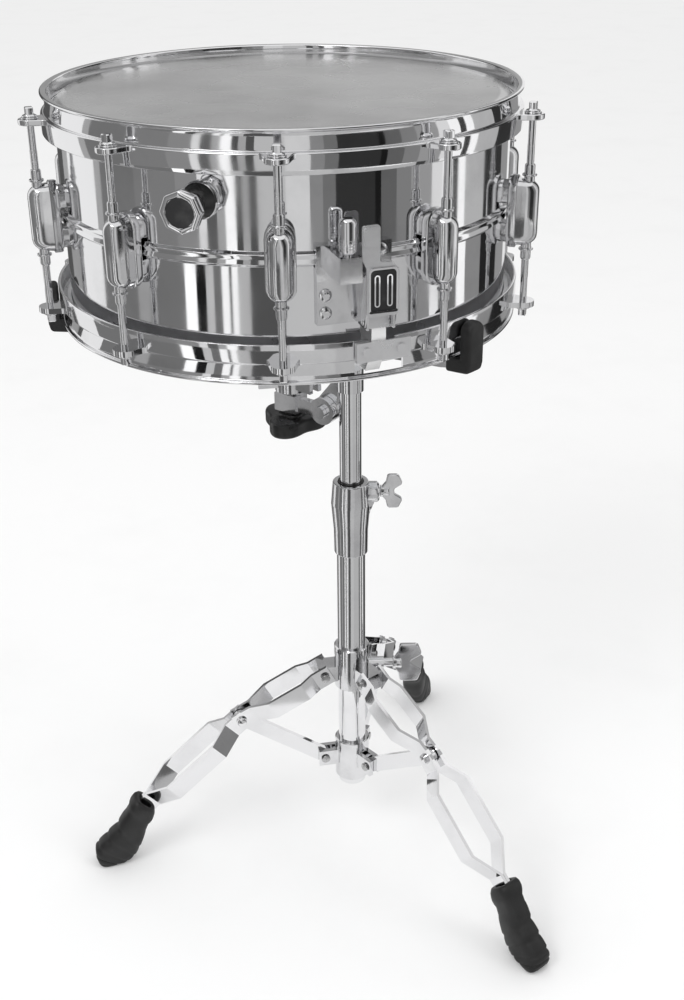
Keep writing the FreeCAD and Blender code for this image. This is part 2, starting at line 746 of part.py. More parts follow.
def make_clamp():
    column = on_column()
    top = "clamp_z + clamp_height"
    shoulder = "base_tube_top + 1"
    body = turned("clamp_sleeve", [
        ("bore", "clamp_z"),
        ("bore + 2.2", "clamp_z"),
        ("bore + 2.2", "clamp_z + 24"),
        ("bore + 4.6", "clamp_z + 34"),
        ("bore + 4.6", top + " - 2"),
        ("bore + 2.6", top, 2.1),
        ("column_bore + 1.6", top),
        ("column_bore + 1.6", shoulder),
        ("bore", shoulder),
    ])
    boss = block("clamp_boss", ("bore + 1", 25), (-8, 8), (top + " - 22", top + " - 1"))
    tap = rod("clamp_tap", "clamp_screw_radius + fit", 30, "column_bore + 1", 0, top + " - 10", "X")
    node("height_clamp", carve("height_clamp", join("clamp_solid", body, boss), tap), column)
    bush = pipe("bush_pipe", "column_bore + 1.55", "column_bore", shoulder + " + 0.2", top + " + 0.8")
    node("clamp_bush", group("clamp_bush", bush), column)
    screw = wing_screw("height", "clamp_screw_radius", "column_bore + 1.7", 25.3, 16, 20, top + " - 10")
    node("height_wing_screw", screw, column)


def wing_screw(name, radius, tip, face, wing, reach, level):
    shank = rod(name + "_shank", radius, "%s - (%s) + 2" % (face, tip), tip, 0, level, "X")
    hub = taper(name + "_hub", (radius + " + 3", radius + " + 1"), 9, face, 0, level, "X")
    wings = block(name + "_wings", (face + 4, face + reach), (-2.2, 2.2),
                  ("(%s) - %s" % (level, wing), "(%s) + %s" % (level, wing)))
    throat = rod(name + "_throat", wing * 0.55, 8, face + reach + 4, -4, level, "Y")
    return carve(name + "_wing_screw", join(name + "_solid", shank, hub, wings), throat)


def collar(name, low, height, ear_low, ear_high, ear_half_width, slot, pivot_z):
    """A ring with three ears for the pivots of the legs or the struts."""
    top = "%s + %s" % (low, height)
    ring = turned(name + "_ring", [
        ("bore", low),
        ("collar_radius - 1", low),
        ("collar_radius", low + " + 1"),
        ("collar_radius", top + " - 1"),
        ("collar_radius - 1", top),
        ("bore", top),
    ])
    ear = block(name + "_ear", ("collar_radius - 1.5", "pivot_radius + 6"),
                ("-(%s)" % ear_half_width, ear_half_width), (ear_low, ear_high))
    hole = rod(name + "_hole", "pin_radius + fit", 60, "pivot_radius", -30, pivot_z, "Y")
    tools = [hole]
    if slot:
        tools.append(block(name + "_slot", ("collar_radius + 0.3", 60), ("-(%s)" % slot, slot),
                           ("(%s) - 20" % pivot_z, "(%s) + 20" % pivot_z)))
    cutter = group(name + "_ear_tools", *tools)
    ears = ring_of(carve(name + "_one_ear", ear, cutter), leg_headings)
    return join(name + "_eared", ring, *ears)


def pins(name, half_length, level):
    one = rod(name + "_pin", "pin_radius", "2 * (%s)" % half_length, "pivot_radius", "-(%s)" % half_length,
              level, "Y")
    return group(name, *ring_of(one, leg_headings))


def make_collars():
    column = on_column()
    upper = collar("leg_collar", "leg_collar_z", "leg_collar_height", "leg_pivot_z - 8", "leg_pivot_z + 8",
                   8.7, None, "leg_pivot_z")
    boss = rod("leg_boss", "leg_screw_radius + 1.6", "31 - collar_radius", "collar_radius - 1.5", 0,
               "leg_pivot_z + 5", "X")
    tap = rod("leg_tap", "leg_screw_radius + fit", 40, "bore - 2", 0, "leg_pivot_z + 5", "X")
    bore = rod("leg_bore", "bore", 80, 0, 0, "leg_collar_z - 10")
    node("leg_collar", carve("leg_collar", join("leg_collar_solid", upper, boss), tap, bore), column)
    node("leg_collar_pins", pins("leg_collar_pins", "upper_lobe - 2.5", "leg_pivot_z"), column)
    lower = collar("lower_collar", "lower_collar_z", "lower_collar_height", "strut_pivot_z - 8",
                   "strut_pivot_z + 8", 7, "strut_thick / 2 + seat", "strut_pivot_z")
    node("lower_collar", group("lower_collar", lower), column)
    node("lower_collar_pins", pins("lower_collar_pins", 8, "strut_pivot_z"), column)
    screw = wing_screw("leg", "leg_screw_radius", "bore + seat", 38, 20, 27, "leg_pivot_z + 5")
    node("leg_wing_screw", screw, column)


# ---- stand: legs, feet and struts


def along(start, end):
    """Placement values of a bar's own frame: X from start to end in the leg's plane, Z up."""
    run = number("(%s) - (%s)" % (end[0], start[0]))
    rise = number("(%s) - (%s)" % (end[1], start[1]))
    direction = FreeCAD.Rotation(FreeCAD.Vector(1, 0, 0), FreeCAD.Vector(run, 0, rise))
    return start[0], 0, start[1], direction


def strap_pair(name, low_half, corners, start, end):
    """Two bent flat bars: corners run along the bar as (distance, offset of the inner face)."""
    outer = [(distance, "%s + leg_strap" % offset) for distance, offset in reversed(corners)]
    bar = prism(name + "_bar", "XY", corners + outer, "-" + low_half, low_half)
    other = copy(bar, turn(180, (1, 0, 0)))
    return place(group(name, bar, other), *along(start, end))


def make_leg(index, heading):
    name = "leg_%d" % index
    pivot = ("pivot_radius", "leg_pivot_z")
    pinch = ("pinch_radius", "pinch_z")
    foot = ("foot_radius", "foot_z")
    upper_length = "sqrt((pinch_radius - pivot_radius) ^ 2 + (leg_pivot_z - pinch_z) ^ 2)"
    lower_length = "sqrt((foot_radius - pinch_radius) ^ 2 + (pinch_z - foot_z) ^ 2)"
    wide = "upper_lobe - leg_strap"
    close = "pinch_half - leg_strap / 2"
    upper = strap_pair(name + "_upper", "strap_width / 2", [
        (-6, "upper_lobe - 8"),
        (10, "upper_lobe - 8"),
        (22, wide),
        (upper_length + " - 32", wide),
        (upper_length + " - 13", close),
        (upper_length + " + 6", close),
    ], pivot, pinch)
    lower = strap_pair(name + "_lower", "strap_width / 2", [
        (-6, close),
        (13, close),
        (32, "lower_lobe - leg_strap"),
        (lower_length + " - 34", "lower_lobe - leg_strap"),
        (lower_length + " - 8", 0.1),
        (lower_length + " + 10", 0.1),
    ], pinch, foot)
    eye = rod(name + "_eye", "pin_radius + fit", 60, "pivot_radius", -30, "leg_pivot_z", "Y")
    rivet = "pinch_half + leg_strap / 2"
    rivets = [rod("%s_rivet_%d" % (name, side), 5, 2, "pinch_radius", start, "pinch_z", "Y")
              for side, start in ((0, rivet + " - 0.1"), (1, "-(%s) - 1.9" % rivet))]
    whole = join(name + "_solid", upper, lower, *rivets)
    leg = carve(name, whole, eye)
    node(name, leg, on_column(heading))
    boot = prism("foot_%d_boot" % index, "XZ", [
        ("foot_radius - 7", "foot_z - 5"),
        ("foot_radius + 10", "foot_z + 10"),
        ("foot_radius + 30", "foot_z - 22"),
        ("foot_radius + 53", 18),
        ("foot_radius + 53", 6, 9),
        ("foot_radius + 45", 0, 9),
        ("foot_radius + 24", 0),
        ("foot_radius + 12", 12),
    ], -12, 12)
    node("foot_%d" % index, carve("foot_%d" % index, boot, copy(whole, turn(0))), on_column(heading))


def make_strut(index, heading):
    start = ("pivot_radius", "strut_pivot_z")
    end = ("pinch_radius", "pinch_z")
    length = "sqrt((pinch_radius - pivot_radius) ^ 2 + (pinch_z - strut_pivot_z) ^ 2)"
    name = "strut_%d" % index
    half = "strut_thick / 2"
    bar = block(name + "_bar", (0, length), ("-" + half, half), ("-strut_width / 2", "strut_width / 2"))
    ends = [rod("%s_end_%d" % (name, side), "strut_width / 2", "strut_thick", at, "-" + half, 0, "Y")
            for side, at in ((0, 0), (1, length))]
    eye = rod(name + "_eye", "pin_radius + fit", 20, 0, -10, 0, "Y")
    link = place(carve(name + "_link", join(name + "_solid", bar, *ends), eye), *along(start, end))
    node(name, group(name, link), on_column(heading))


# ---- stand: tilter and basket


def make_tilter():
    frame = on_basket()
    axis_x = "-tilt_axis_out"
    column = "-tilter_reach"
    ring = rod("tilter_ring", "column_bore + 1.9", "head_top - head_ring_z", column, 0, "head_ring_z")
    bore = rod("tilter_bore", "column_bore", "head_top - 2 - head_ring_z", column, 0, "head_ring_z - 1")
    cheek = ("-tooth_gap - disc_thick", "-tooth_gap")
    plate = prism("tilter_cheek", "XZ", [
        (column + " + 4", "head_ring_z + 0.5"),
        (column + " + 4", "head_top - 1"),
        (column + " + 14", "head_top - 2"),
        (axis_x + " - 6", "tilt_axis_z + 26"),
        (axis_x + " + 10", "tilt_axis_z + 6"),
        (axis_x + " + 6", "tilt_axis_z - 10"),
        (axis_x + " - 10", "tilt_axis_z - 4"),
        (axis_x + " - 12", "head_ring_z + 0.5"),
    ], *cheek)
    disc = rod("tilter_disc", "disc_radius", "disc_thick", axis_x, cheek[0], "tilt_axis_z", "Y")
    hole = rod("tilter_hole", "tilter_bolt_radius + fit", 40, axis_x, -20, "tilt_axis_z", "Y")
    node("tilter_base", carve("tilter_base", join("tilter_solid", ring, plate, disc), bore, hole), frame)
    moving = rod("tilter_moving_disc", "disc_radius", "disc_thick", axis_x, "tooth_gap", "tilt_axis_z", "Y")
    bar = block("tilter_bar", (axis_x, 6), ("tooth_gap", "disc_thick + tooth_gap"),
                ("tilt_axis_z - 6", "tilt_axis_z + 6"))
    body = block("tilter_block", (-10, 12), (-9, 9), ("tilt_axis_z - 8", "tilt_axis_z + 8"))
    well = rod("tilter_well", "basket_rod_radius + fit", 60, 0, 0, "tilt_axis_z - 30")
    node("tilter_arm", carve("tilter_arm", join("tilter_arm_solid", moving, bar, body), hole, well), frame)
    shank = rod("tilter_bolt_shank", "tilter_bolt_radius", "22 + disc_thick", axis_x, -20, "tilt_axis_z", "Y")
    head = rod("tilter_bolt_head", 6, 6, axis_x, "-disc_thick - 8", "tilt_axis_z", "Y")
    wings = block("tilter_bolt_wings", (axis_x + " - 16", axis_x + " + 16"), (-24, -12),
                  ("tilt_axis_z - 2.2", "tilt_axis_z + 2.2"))
    nut = rod("tilter_bolt_nut", 5.5, 4, axis_x, "disc_thick + seat", "tilt_axis_z", "Y")
    node("tilter_wing_bolt", join("tilter_wing_bolt", shank, head, wings, nut), frame)


def make_basket():
    frame = on_basket()
    rod_low = "tilt_axis_z - 28"
    spindle = rod("basket_spindle", "basket_rod_radius", "arm_pivot_z - 8 - (%s)" % rod_low, 0, 0, rod_low)
    node("basket_rod", group("basket_rod", spindle), frame)
    lobes = ring_of(rod("knob_lobe", 9, 13, 21, 0, "tilt_axis_z - 25"), (-15, 105, 225))
    hub = rod("knob_hub", 17, 15, 0, 0, "tilt_axis_z - 25")
    bore = rod("knob_bore", "basket_rod_radius + fit", 60, 0, 0, "tilt_axis_z - 60")
    node("basket_knob", carve("basket_knob", join("knob_solid", hub, *lobes), bore), frame)
    hub = rod("spider_hub", 14, 16, 0, 0, "arm_pivot_z - 11")
    cheeks = []
    for low, high in (("-7", "-arm_half - seat"), ("arm_half + seat", "7")):
        cheeks.append(block("spider_cheek", (8, "arm_pivot_radius + 5"), (low, high),
                            ("arm_pivot_z - 7", "arm_pivot_z + 7")))
    pin = rod("spider_pin", 2, 14, "arm_pivot_radius", -7, "arm_pivot_z", "Y")
    fork = group("spider_fork", join("spider_one_fork", *cheeks, pin))
    forks = ring_of(fork, [azimuth - 90 - tilt_heading for azimuth in arm_azimuths])
    socket = rod("spider_socket", "basket_rod_radius + fit", 10, 0, 0, "arm_pivot_z - 17.9")
    spider = join("basket_spider_solid", carve("spider_drilled", hub, socket), *forks)
    node("basket_spider", group("basket_spider", spider), frame)


def make_basket_arm(index, azimuth):
    name = "basket_arm_%d" % index
    frame = on_basket(azimuth - 90)
    outer = "claw_outer - 2.6"
    bar = prism(name + "_bar", "XZ", [
        ("arm_pivot_radius - 3.5", "arm_pivot_z"),
        ("arm_pivot_radius + 3.5", "arm_pivot_z", 3.6),
        ("arm_pivot_radius + 15", "hoop_floor - 29"),
        ("claw_inner - 22", "hoop_floor - 14"),
        (outer, "hoop_floor - 8"),
        (outer, "hoop_floor + grip_rise - 6"),
        (outer + " - 3", "hoop_floor + grip_rise - 6"),
        (outer + " - 3", "hoop_floor - 3"),
        ("claw_inner - 24", "hoop_floor - 6"),
        ("arm_pivot_radius + 11", "hoop_floor - 22"),
    ], "-arm_half", "arm_half")
    eye = rod(name + "_hole", "2 + fit", 20, "arm_pivot_radius", -10, "arm_pivot_z", "Y")
    arm = carve(name, bar, eye)
    node(name, arm, frame)
    sleeve = prism("basket_grip_%d_sleeve" % index, "XZ", [
        ("claw_inner - 14", "hoop_floor - 14.5"),
        ("claw_outer - 2", "hoop_floor - 11"),
        ("claw_outer", "hoop_floor - 8", 3),
        ("claw_outer", "hoop_floor + grip_rise - 2"),
        ("claw_outer - 2", "hoop_floor + grip_rise", 2.1),
        ("claw_inner + 2", "hoop_floor + grip_rise"),
        ("claw_inner", "hoop_floor + grip_rise - 3"),
        ("claw_inner", "hoop_floor"),
        ("claw_inner - 14", "hoop_floor"),
    ], "-grip_half", "grip_half")
    node("basket_grip_%d" % index, carve("basket_grip_%d" % index, sleeve, copy(bar, turn(0))), frame)


def check_and_export():
    doc.recompute()
    for item in doc.Objects:
        faults = [state for state in item.State if state in ("Invalid", "Error")]
        if faults:
            raise RuntimeError("%s: %s" % (item.Name, faults))
    for item in nodes:
        if item.Shape.isNull() or not item.Shape.isValid() or not item.Shape.Solids:
            raise RuntimeError("bad shape in " + item.Label)
        item.Shape.exportStep("parts/%s.step" % item.Label)
    print(len(nodes), "nodes written")


make_shell()
make_heads()
make_hoops()
make_lugs()
make_lug_screws()
make_swivel_nuts()
make_tension_rods()
make_air_vent()
make_strainer()
make_snares()
make_muffler()
make_tubes()
make_clamp()
make_collars()
for index, heading in enumerate(leg_headings, start=1):
    make_leg(index, heading)
    make_strut(index, heading)
make_tilter()
make_basket()
for index, azimuth in enumerate(arm_azimuths, start=1):
    make_basket_arm(index, azimuth)
check_and_export()
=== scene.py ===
import json
import math

import bmesh
import bpy
from mathutils import Matrix, Vector

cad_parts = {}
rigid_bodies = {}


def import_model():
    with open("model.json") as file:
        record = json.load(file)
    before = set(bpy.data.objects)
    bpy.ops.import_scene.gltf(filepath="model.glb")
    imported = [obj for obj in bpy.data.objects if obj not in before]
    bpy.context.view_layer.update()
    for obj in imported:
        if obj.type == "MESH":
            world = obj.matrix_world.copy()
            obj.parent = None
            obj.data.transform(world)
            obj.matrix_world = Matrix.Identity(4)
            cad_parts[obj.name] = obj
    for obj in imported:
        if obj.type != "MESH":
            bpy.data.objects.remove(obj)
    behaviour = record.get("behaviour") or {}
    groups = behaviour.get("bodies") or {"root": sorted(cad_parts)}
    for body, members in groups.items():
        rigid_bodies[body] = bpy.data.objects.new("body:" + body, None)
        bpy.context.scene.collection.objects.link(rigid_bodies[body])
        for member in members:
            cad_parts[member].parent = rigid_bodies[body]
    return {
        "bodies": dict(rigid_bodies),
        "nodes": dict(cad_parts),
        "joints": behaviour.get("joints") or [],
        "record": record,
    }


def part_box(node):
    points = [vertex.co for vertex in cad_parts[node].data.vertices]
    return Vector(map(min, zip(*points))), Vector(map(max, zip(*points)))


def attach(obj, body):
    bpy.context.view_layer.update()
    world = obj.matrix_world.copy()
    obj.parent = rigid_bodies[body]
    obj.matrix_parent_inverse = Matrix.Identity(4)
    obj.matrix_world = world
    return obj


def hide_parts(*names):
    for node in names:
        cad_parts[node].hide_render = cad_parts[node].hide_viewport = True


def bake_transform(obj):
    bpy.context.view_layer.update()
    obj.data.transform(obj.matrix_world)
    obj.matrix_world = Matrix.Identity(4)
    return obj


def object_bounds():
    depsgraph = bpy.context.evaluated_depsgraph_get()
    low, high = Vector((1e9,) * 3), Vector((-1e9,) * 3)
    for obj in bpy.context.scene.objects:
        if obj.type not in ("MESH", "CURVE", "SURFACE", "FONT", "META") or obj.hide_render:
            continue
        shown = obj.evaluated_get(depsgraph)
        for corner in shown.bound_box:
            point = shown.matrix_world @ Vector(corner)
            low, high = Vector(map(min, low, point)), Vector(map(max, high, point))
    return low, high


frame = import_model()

nodes = frame["nodes"]
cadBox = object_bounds()
mm = 0.001


def centreOf(node):
    low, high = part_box(node)
    return (low + high) / 2


drumCentre = centreOf("shell")
columnCentre = centreOf("base_tube")
columnCentre.z = 0
print("frame loaded:", len(nodes), "nodes")


# shared effects, used by several materials

def newGroup(name, inputs, outputs):
    group = bpy.data.node_groups.new(name, "ShaderNodeTree")
    for label, kind, value in inputs:
        socket = group.interface.new_socket(label, in_out="INPUT", socket_type=kind)
        if value is not None:
            socket.default_value = value
    for label, kind in outputs:
        group.interface.new_socket(label, in_out="OUTPUT", socket_type=kind)
    return group, group.nodes.new("NodeGroupInput"), group.nodes.new("NodeGroupOutput")


def addNode(tree, kind, values=None, **settings):
    node = tree.nodes.new(kind)
    for key, value in settings.items():
        setattr(node, key, value)
    for key, value in (values or {}).items():
        node.inputs[key].default_value = value
    return node


def makeSmudges():
    # handling marks: broad soft clouds broken up by finger-sized patches
    group, source, sink = newGroup("smudges", [("Scale", "NodeSocketFloat", 9.0), ("Low", "NodeSocketFloat", 0.08),
                                              ("High", "NodeSocketFloat", 0.25)], [("Value", "NodeSocketFloat")])
    place = addNode(group, "ShaderNodeTexCoord")
    clouds = addNode(group, "ShaderNodeTexNoise", {"Detail": 6.0, "Roughness": 0.62})
    patches = addNode(group, "ShaderNodeTexVoronoi", {"Randomness": 1.0}, feature="SMOOTH_F1")
    finer = addNode(group, "ShaderNodeMath", {1: 2.7}, operation="MULTIPLY")
    both = addNode(group, "ShaderNodeMath", operation="MULTIPLY")
    spread = addNode(group, "ShaderNodeMapRange", {"From Min": 0.12, "From Max": 0.42})
    link = group.links.new
    link(place.outputs["Object"], clouds.inputs["Vector"])
    link(place.outputs["Object"], patches.inputs["Vector"])
    link(source.outputs["Scale"], clouds.inputs["Scale"])
    link(source.outputs["Scale"], finer.inputs[0])
    link(finer.outputs[0], patches.inputs["Scale"])
    link(clouds.outputs[0], both.inputs[0])
    link(patches.outputs["Distance"], both.inputs[1])
    link(both.outputs[0], spread.inputs["Value"])
    link(source.outputs["Low"], spread.inputs["To Min"])
    link(source.outputs["High"], spread.inputs["To Max"])
    link(spread.outputs["Result"], sink.inputs["Value"])
    return group


def makeGrain():
    # fine surface grain as a height, with its own size along each axis
    inputs = [("Scale", "NodeSocketFloat", 900.0), ("Stretch", "NodeSocketVector", (1, 1, 1))]
    group, source, sink = newGroup("grain", inputs, [("Height", "NodeSocketFloat")])
    place = addNode(group, "ShaderNodeTexCoord")
    pull = addNode(group, "ShaderNodeVectorMath", operation="MULTIPLY")
    noise = addNode(group, "ShaderNodeTexNoise", {"Detail": 3.0, "Roughness": 0.55})
    link = group.links.new
    link(place.outputs["Object"], pull.inputs[0])
    link(source.outputs["Stretch"], pull.inputs[1])
    link(pull.outputs[0], noise.inputs["Vector"])
    link(source.outputs["Scale"], noise.inputs["Scale"])
    link(noise.outputs[0], sink.inputs["Height"])
    return group


def makeTint():
    # two colours mixed by slow clouds, for dust, age and worn coating
    group, source, sink = newGroup("clouded_tint", [("Base", "NodeSocketColor", (0.8, 0.8, 0.8, 1)),
                                                    ("Worn", "NodeSocketColor", (0.6, 0.6, 0.6, 1)),
                                                    ("Scale", "NodeSocketFloat", 6.0),
                                                    ("Cover", "NodeSocketFloat", 0.5)], [("Color", "NodeSocketColor")])
    place = addNode(group, "ShaderNodeTexCoord")
    noise = addNode(group, "ShaderNodeTexNoise", {"Detail": 8.0, "Roughness": 0.6})
    edge = addNode(group, "ShaderNodeMapRange", {"From Max": 0.72, "To Min": 0.0, "To Max": 1.0})
    mix = addNode(group, "ShaderNodeMix", data_type="RGBA")
    link = group.links.new
    link(place.outputs["Object"], noise.inputs["Vector"])
    link(source.outputs["Scale"], noise.inputs["Scale"])
    link(noise.outputs[0], edge.inputs["Value"])
    link(source.outputs["Cover"], edge.inputs["From Min"])
    link(edge.outputs["Result"], mix.inputs["Factor"])
    link(source.outputs["Base"], mix.inputs[6])
    link(source.outputs["Worn"], mix.inputs[7])
    link(mix.outputs[2], sink.inputs["Color"])
    return group


smudges = makeSmudges()
grain = makeGrain()
cloudedTint = makeTint()


def finish(name, base, worn, roughness, metallic=0.0, cover=0.5, tintScale=6.0, smudgeScale=9.0,
           grainScale=900.0, stretch=(1, 1, 1), depth=0.02, extras=None):
    material = bpy.data.materials.new(name)
    material.use_nodes = True
    tree = material.node_tree
    shader = tree.nodes["Principled BSDF"]
    shader.inputs["Metallic"].default_value = metallic
    for key, value in (extras or {}).items():
        shader.inputs[key].default_value = value
    tint = addNode(tree, "ShaderNodeGroup", node_tree=cloudedTint)
    tint.inputs["Base"].default_value = (*base, 1)
    tint.inputs["Worn"].default_value = (*worn, 1)
    tint.inputs["Scale"].default_value = tintScale
    tint.inputs["Cover"].default_value = cover
    marks = addNode(tree, "ShaderNodeGroup", node_tree=smudges)
    marks.inputs["Scale"].default_value = smudgeScale
    marks.inputs["Low"].default_value = roughness[0]
    marks.inputs["High"].default_value = roughness[1]
    texture = addNode(tree, "ShaderNodeGroup", node_tree=grain)
    texture.inputs["Scale"].default_value = grainScale
    texture.inputs["Stretch"].default_value = stretch
    bump = addNode(tree, "ShaderNodeBump", {"Strength": 1.0, "Distance": depth * mm})
    link = tree.links.new
    link(tint.outputs["Color"], shader.inputs["Base Color"])
    link(marks.outputs["Value"], shader.inputs["Roughness"])
    link(texture.outputs["Height"], bump.inputs["Height"])
    link(bump.outputs["Normal"], shader.inputs["Normal"])
    return material


finishes = {
    "chrome": finish("chrome_plate", (0.83, 0.83, 0.84), (0.72, 0.72, 0.73), (0.03, 0.13), 1.0, 0.5, 14.0,
                     grainScale=60.0, depth=0.006),
    "castChrome": finish("cast_chrome", (0.78, 0.78, 0.79), (0.62, 0.62, 0.63), (0.06, 0.2), 1.0, 0.45, 30.0, 22.0,
                         grainScale=140.0, depth=0.02),
    "satin": finish("satin_plate", (0.72, 0.72, 0.73), (0.62, 0.62, 0.63), (0.26, 0.4), 0.8, 0.5, 30.0,
                    grainScale=400.0, depth=0.01),
    "steel": finish("plain_steel", (0.5, 0.5, 0.5), (0.36, 0.36, 0.36), (0.22, 0.4), 1.0, 0.5, 40.0, 40.0,
                    grainScale=700.0, stretch=(1, 1, 0.2), depth=0.02),
    "aluminium": finish("hoop_channel", (0.8, 0.8, 0.81), (0.68, 0.68, 0.68), (0.3, 0.45), 0.5, 0.5, 20.0,
                        grainScale=600.0, depth=0.02),
    "rubber": finish("moulded_rubber", (0.009, 0.009, 0.009), (0.02, 0.02, 0.02), (0.45, 0.68), 0.0, 0.5, 30.0, 30.0,
                     grainScale=1400.0, depth=0.05),
    "plastic": finish("black_plastic", (0.01, 0.01, 0.01), (0.02, 0.02, 0.02), (0.25, 0.42), 0.0, 0.5, 30.0, 30.0,
                      grainScale=1800.0, depth=0.03),
    "coated": finish("coated_head", (0.5, 0.5, 0.5), (0.34, 0.34, 0.34), (0.16, 0.42), 0.35, 0.42, 7.0, 8.0,
                     grainScale=900.0, stretch=(0.2, 1, 1), depth=0.012,
                     extras={"Coat Weight": 0.5, "Coat Roughness": 0.16}),
    "hazy": finish("hazy_head", (0.72, 0.73, 0.74), (0.6, 0.61, 0.62), (0.18, 0.32), 0.0, 0.5, 8.0,
                   grainScale=400.0, depth=0.01),
    "felt": finish("pressed_felt", (0.72, 0.71, 0.68), (0.6, 0.59, 0.56), (0.85, 0.97), 0.0, 0.5, 60.0,
                   grainScale=1500.0, depth=0.3),
    "ribbon": finish("snare_ribbon", (0.75, 0.75, 0.75), (0.62, 0.62, 0.62), (0.25, 0.4), 0.0, 0.5, 30.0,
                     grainScale=900.0, depth=0.02),
    # painted shade: a near-black finish for thin sheets in slots, windows and the knob's end, standing in for the shade
    # there
    "paintedShade": finish("painted_recess_shade", (0.015, 0.015, 0.016), (0.04, 0.04, 0.04), (0.35, 0.55), 0.0, 0.5, 60.0,
                   grainScale=900.0, depth=0.02),
}
print("materials made:", len(finishes))


def paint(item, name):
    item.data.materials.clear()
    item.data.materials.append(finishes[name])


def softenCad(node, width=0.5, angle=32):
    item = nodes[node]
    for face in item.data.polygons:
        face.use_smooth = True
    item.data.set_sharp_from_angle(angle=math.radians(angle))
    bevel = item.modifiers.new("edge_round", "BEVEL")
    bevel.width = width * mm
    bevel.segments = 2
    bevel.limit_method = "ANGLE"
    bevel.angle_limit = math.radians(angle)
    bevel.harden_normals = True


cadFinish = {
    "chrome": ["air_vent", "base_tube", "height_tube", "leg_1", "leg_2", "leg_3", "strut_1", "strut_2", "strut_3"],
    "satin": ["gate_plates", "strainer_carriage"],
    "castChrome": ["strainer_base", "butt_plate", "lower_collar", "leg_collar", "tilter_wing_bolt", "tilter_base",
                   "tilter_arm", "basket_spider", "basket_arm_1", "basket_arm_2", "basket_arm_3"],
    "aluminium": ["batter_flesh_hoop", "snare_side_flesh_hoop"],
    "steel": ["lug_screws", "snare_end_plates", "basket_rod", "muffler_arm"],
    "plastic": ["clamp_bush"],
    "ribbon": ["snare_strap_back"],
}
for name, group in cadFinish.items():
    for node in group:
        paint(nodes[node], name)
        softenCad(node)


# mesh shapes: each is a (points, faces) pair in metres

def rounded(corners, steps=4):
    # an outline with its corners turned into arcs; each corner is (x, y, radius) in millimetres
    line = []
    count = len(corners)
    for index, corner in enumerate(corners):
        spot = Vector((corner[0], corner[1]))
        radius = corner[2] if len(corner) > 2 else 0
        before = Vector(corners[index - 1][:2]) - spot
        after = Vector(corners[(index + 1) % count][:2]) - spot
        straight = abs(before.cross(after)) < 1e-6 * before.length * after.length
        if radius == 0 or straight:
            line.append(spot * mm)
            continue
        before.normalize()
        after.normalize()
        half = before.angle(after) / 2
        reach = radius / math.tan(half)
        centre = spot + (before + after).normalized() * (radius / math.sin(half))
        first = spot + before * reach - centre
        swing = first.angle_signed(spot + after * reach - centre)
        for step in range(steps + 1):
            turned = first.copy()
            turned.rotate(Matrix.Rotation(-swing * step / steps, 2))
            line.append((centre + turned) * mm)
    return line


def sweepRound(outline, start=0.0, stop=360.0, segments=256):
    # turns an outline of (radius, height) about Z; a part turn gets end caps
    full = stop - start >= 359.999
    rings = segments if full else segments + 1
    points, faces = [], []
    for ring in range(rings):
        angle = math.radians(start + (stop - start) * ring / segments)
        points += [(spot[0] * math.cos(angle), spot[0] * math.sin(angle), spot[1]) for spot in outline]
    size = len(outline)
    for ring in range(segments):
        following = (ring + 1) % rings
        for index in range(size):
            near = (index + 1) % size
            faces.append((ring * size + index, following * size + index, following * size + near, ring * size + near))
    if not full:
        faces.append(tuple(range(size))[::-1])
        faces.append(tuple(range((rings - 1) * size, rings * size)))
    return points, faces


def lathe(corners, segments=96, steps=4):
    return sweepRound(rounded(corners, steps), segments=segments)


def prism(outline, low, high):
    size = len(outline)
    points = [(spot[0], spot[1], low * mm) for spot in outline] + [(spot[0], spot[1], high * mm) for spot in outline]
    faces = [tuple(range(size))[::-1], tuple(range(size, 2 * size))]
    for index in range(size):
        near = (index + 1) % size
        faces.append((index, near, size + near, size + index))
    return points, faces


def between(points, share):
    # a place on a line of points, by its share of the way along
    position = share * (len(points) - 1)
    index = min(int(position), len(points) - 2)
    rest = position - index
    return Vector(points[index]).lerp(Vector(points[index + 1]), rest)


def loft(sections):
    size = len(sections[0])
    points = [tuple(spot) for section in sections for spot in section]
    faces = [tuple(range(size))[::-1], tuple(range(len(points) - size, len(points)))]
    for row in range(len(sections) - 1):
        for index in range(size):
            near = (index + 1) % size
            faces.append((row * size + index, row * size + near, (row + 1) * size + near, (row + 1) * size + index))
    return points, faces


def tube(path, radius, sides=8):
    sections = []
    side = None
    for index, spot in enumerate(path):
        ahead = (path[min(index + 1, len(path) - 1)] - path[max(index - 1, 0)]).normalized()
        side = ahead.orthogonal() if side is None else side - ahead * side.dot(ahead)
        side.normalize()
        other = ahead.cross(side)
        ring = [math.tau * step / sides for step in range(sides)]
        sections.append([spot + (side * math.cos(a) + other * math.sin(a)) * radius for a in ring])
    return loft(sections)


def moved(shape, matrix):
    return [tuple(matrix @ Vector(spot)) for spot in shape[0]], shape[1]


def merged(*shapes):
    points, faces = [], []
    for shape in shapes:
        base = len(points)
        points += shape[0]
        faces += [tuple(base + index for index in face) for face in shape[1]]
    return points, faces


def repeated(shape, angles, flip=False):
    turns = [Matrix.Rotation(math.radians(angle), 4, "Z") for angle in angles]
    if flip:
        turns = [turn @ Matrix.Rotation(math.pi, 4, "X") for turn in turns]
    return merged(*[moved(shape, turn) for turn in turns])


def slide(x=0, y=0, z=0):
    return Matrix.Translation(Vector((x, y, z)) * mm)


def tilt(angle, axis):
    return Matrix.Rotation(math.radians(angle), 4, axis)


alongX = tilt(90, "Y")       # a shape turned about Z now turns about X
alongY = tilt(-90, "X")
upright = tilt(90, "X")      # a flat outline now stands in the X-Z plane
faceOut = Matrix(((0, 0, 1, 0), (1, 0, 0, 0), (0, 1, 0, 0), (0, 0, 0, 1)))    # and now in the Y-Z plane


def onDrum(azimuth=90):
    return Matrix.Translation(drumCentre) @ tilt(azimuth - 90, "Z")


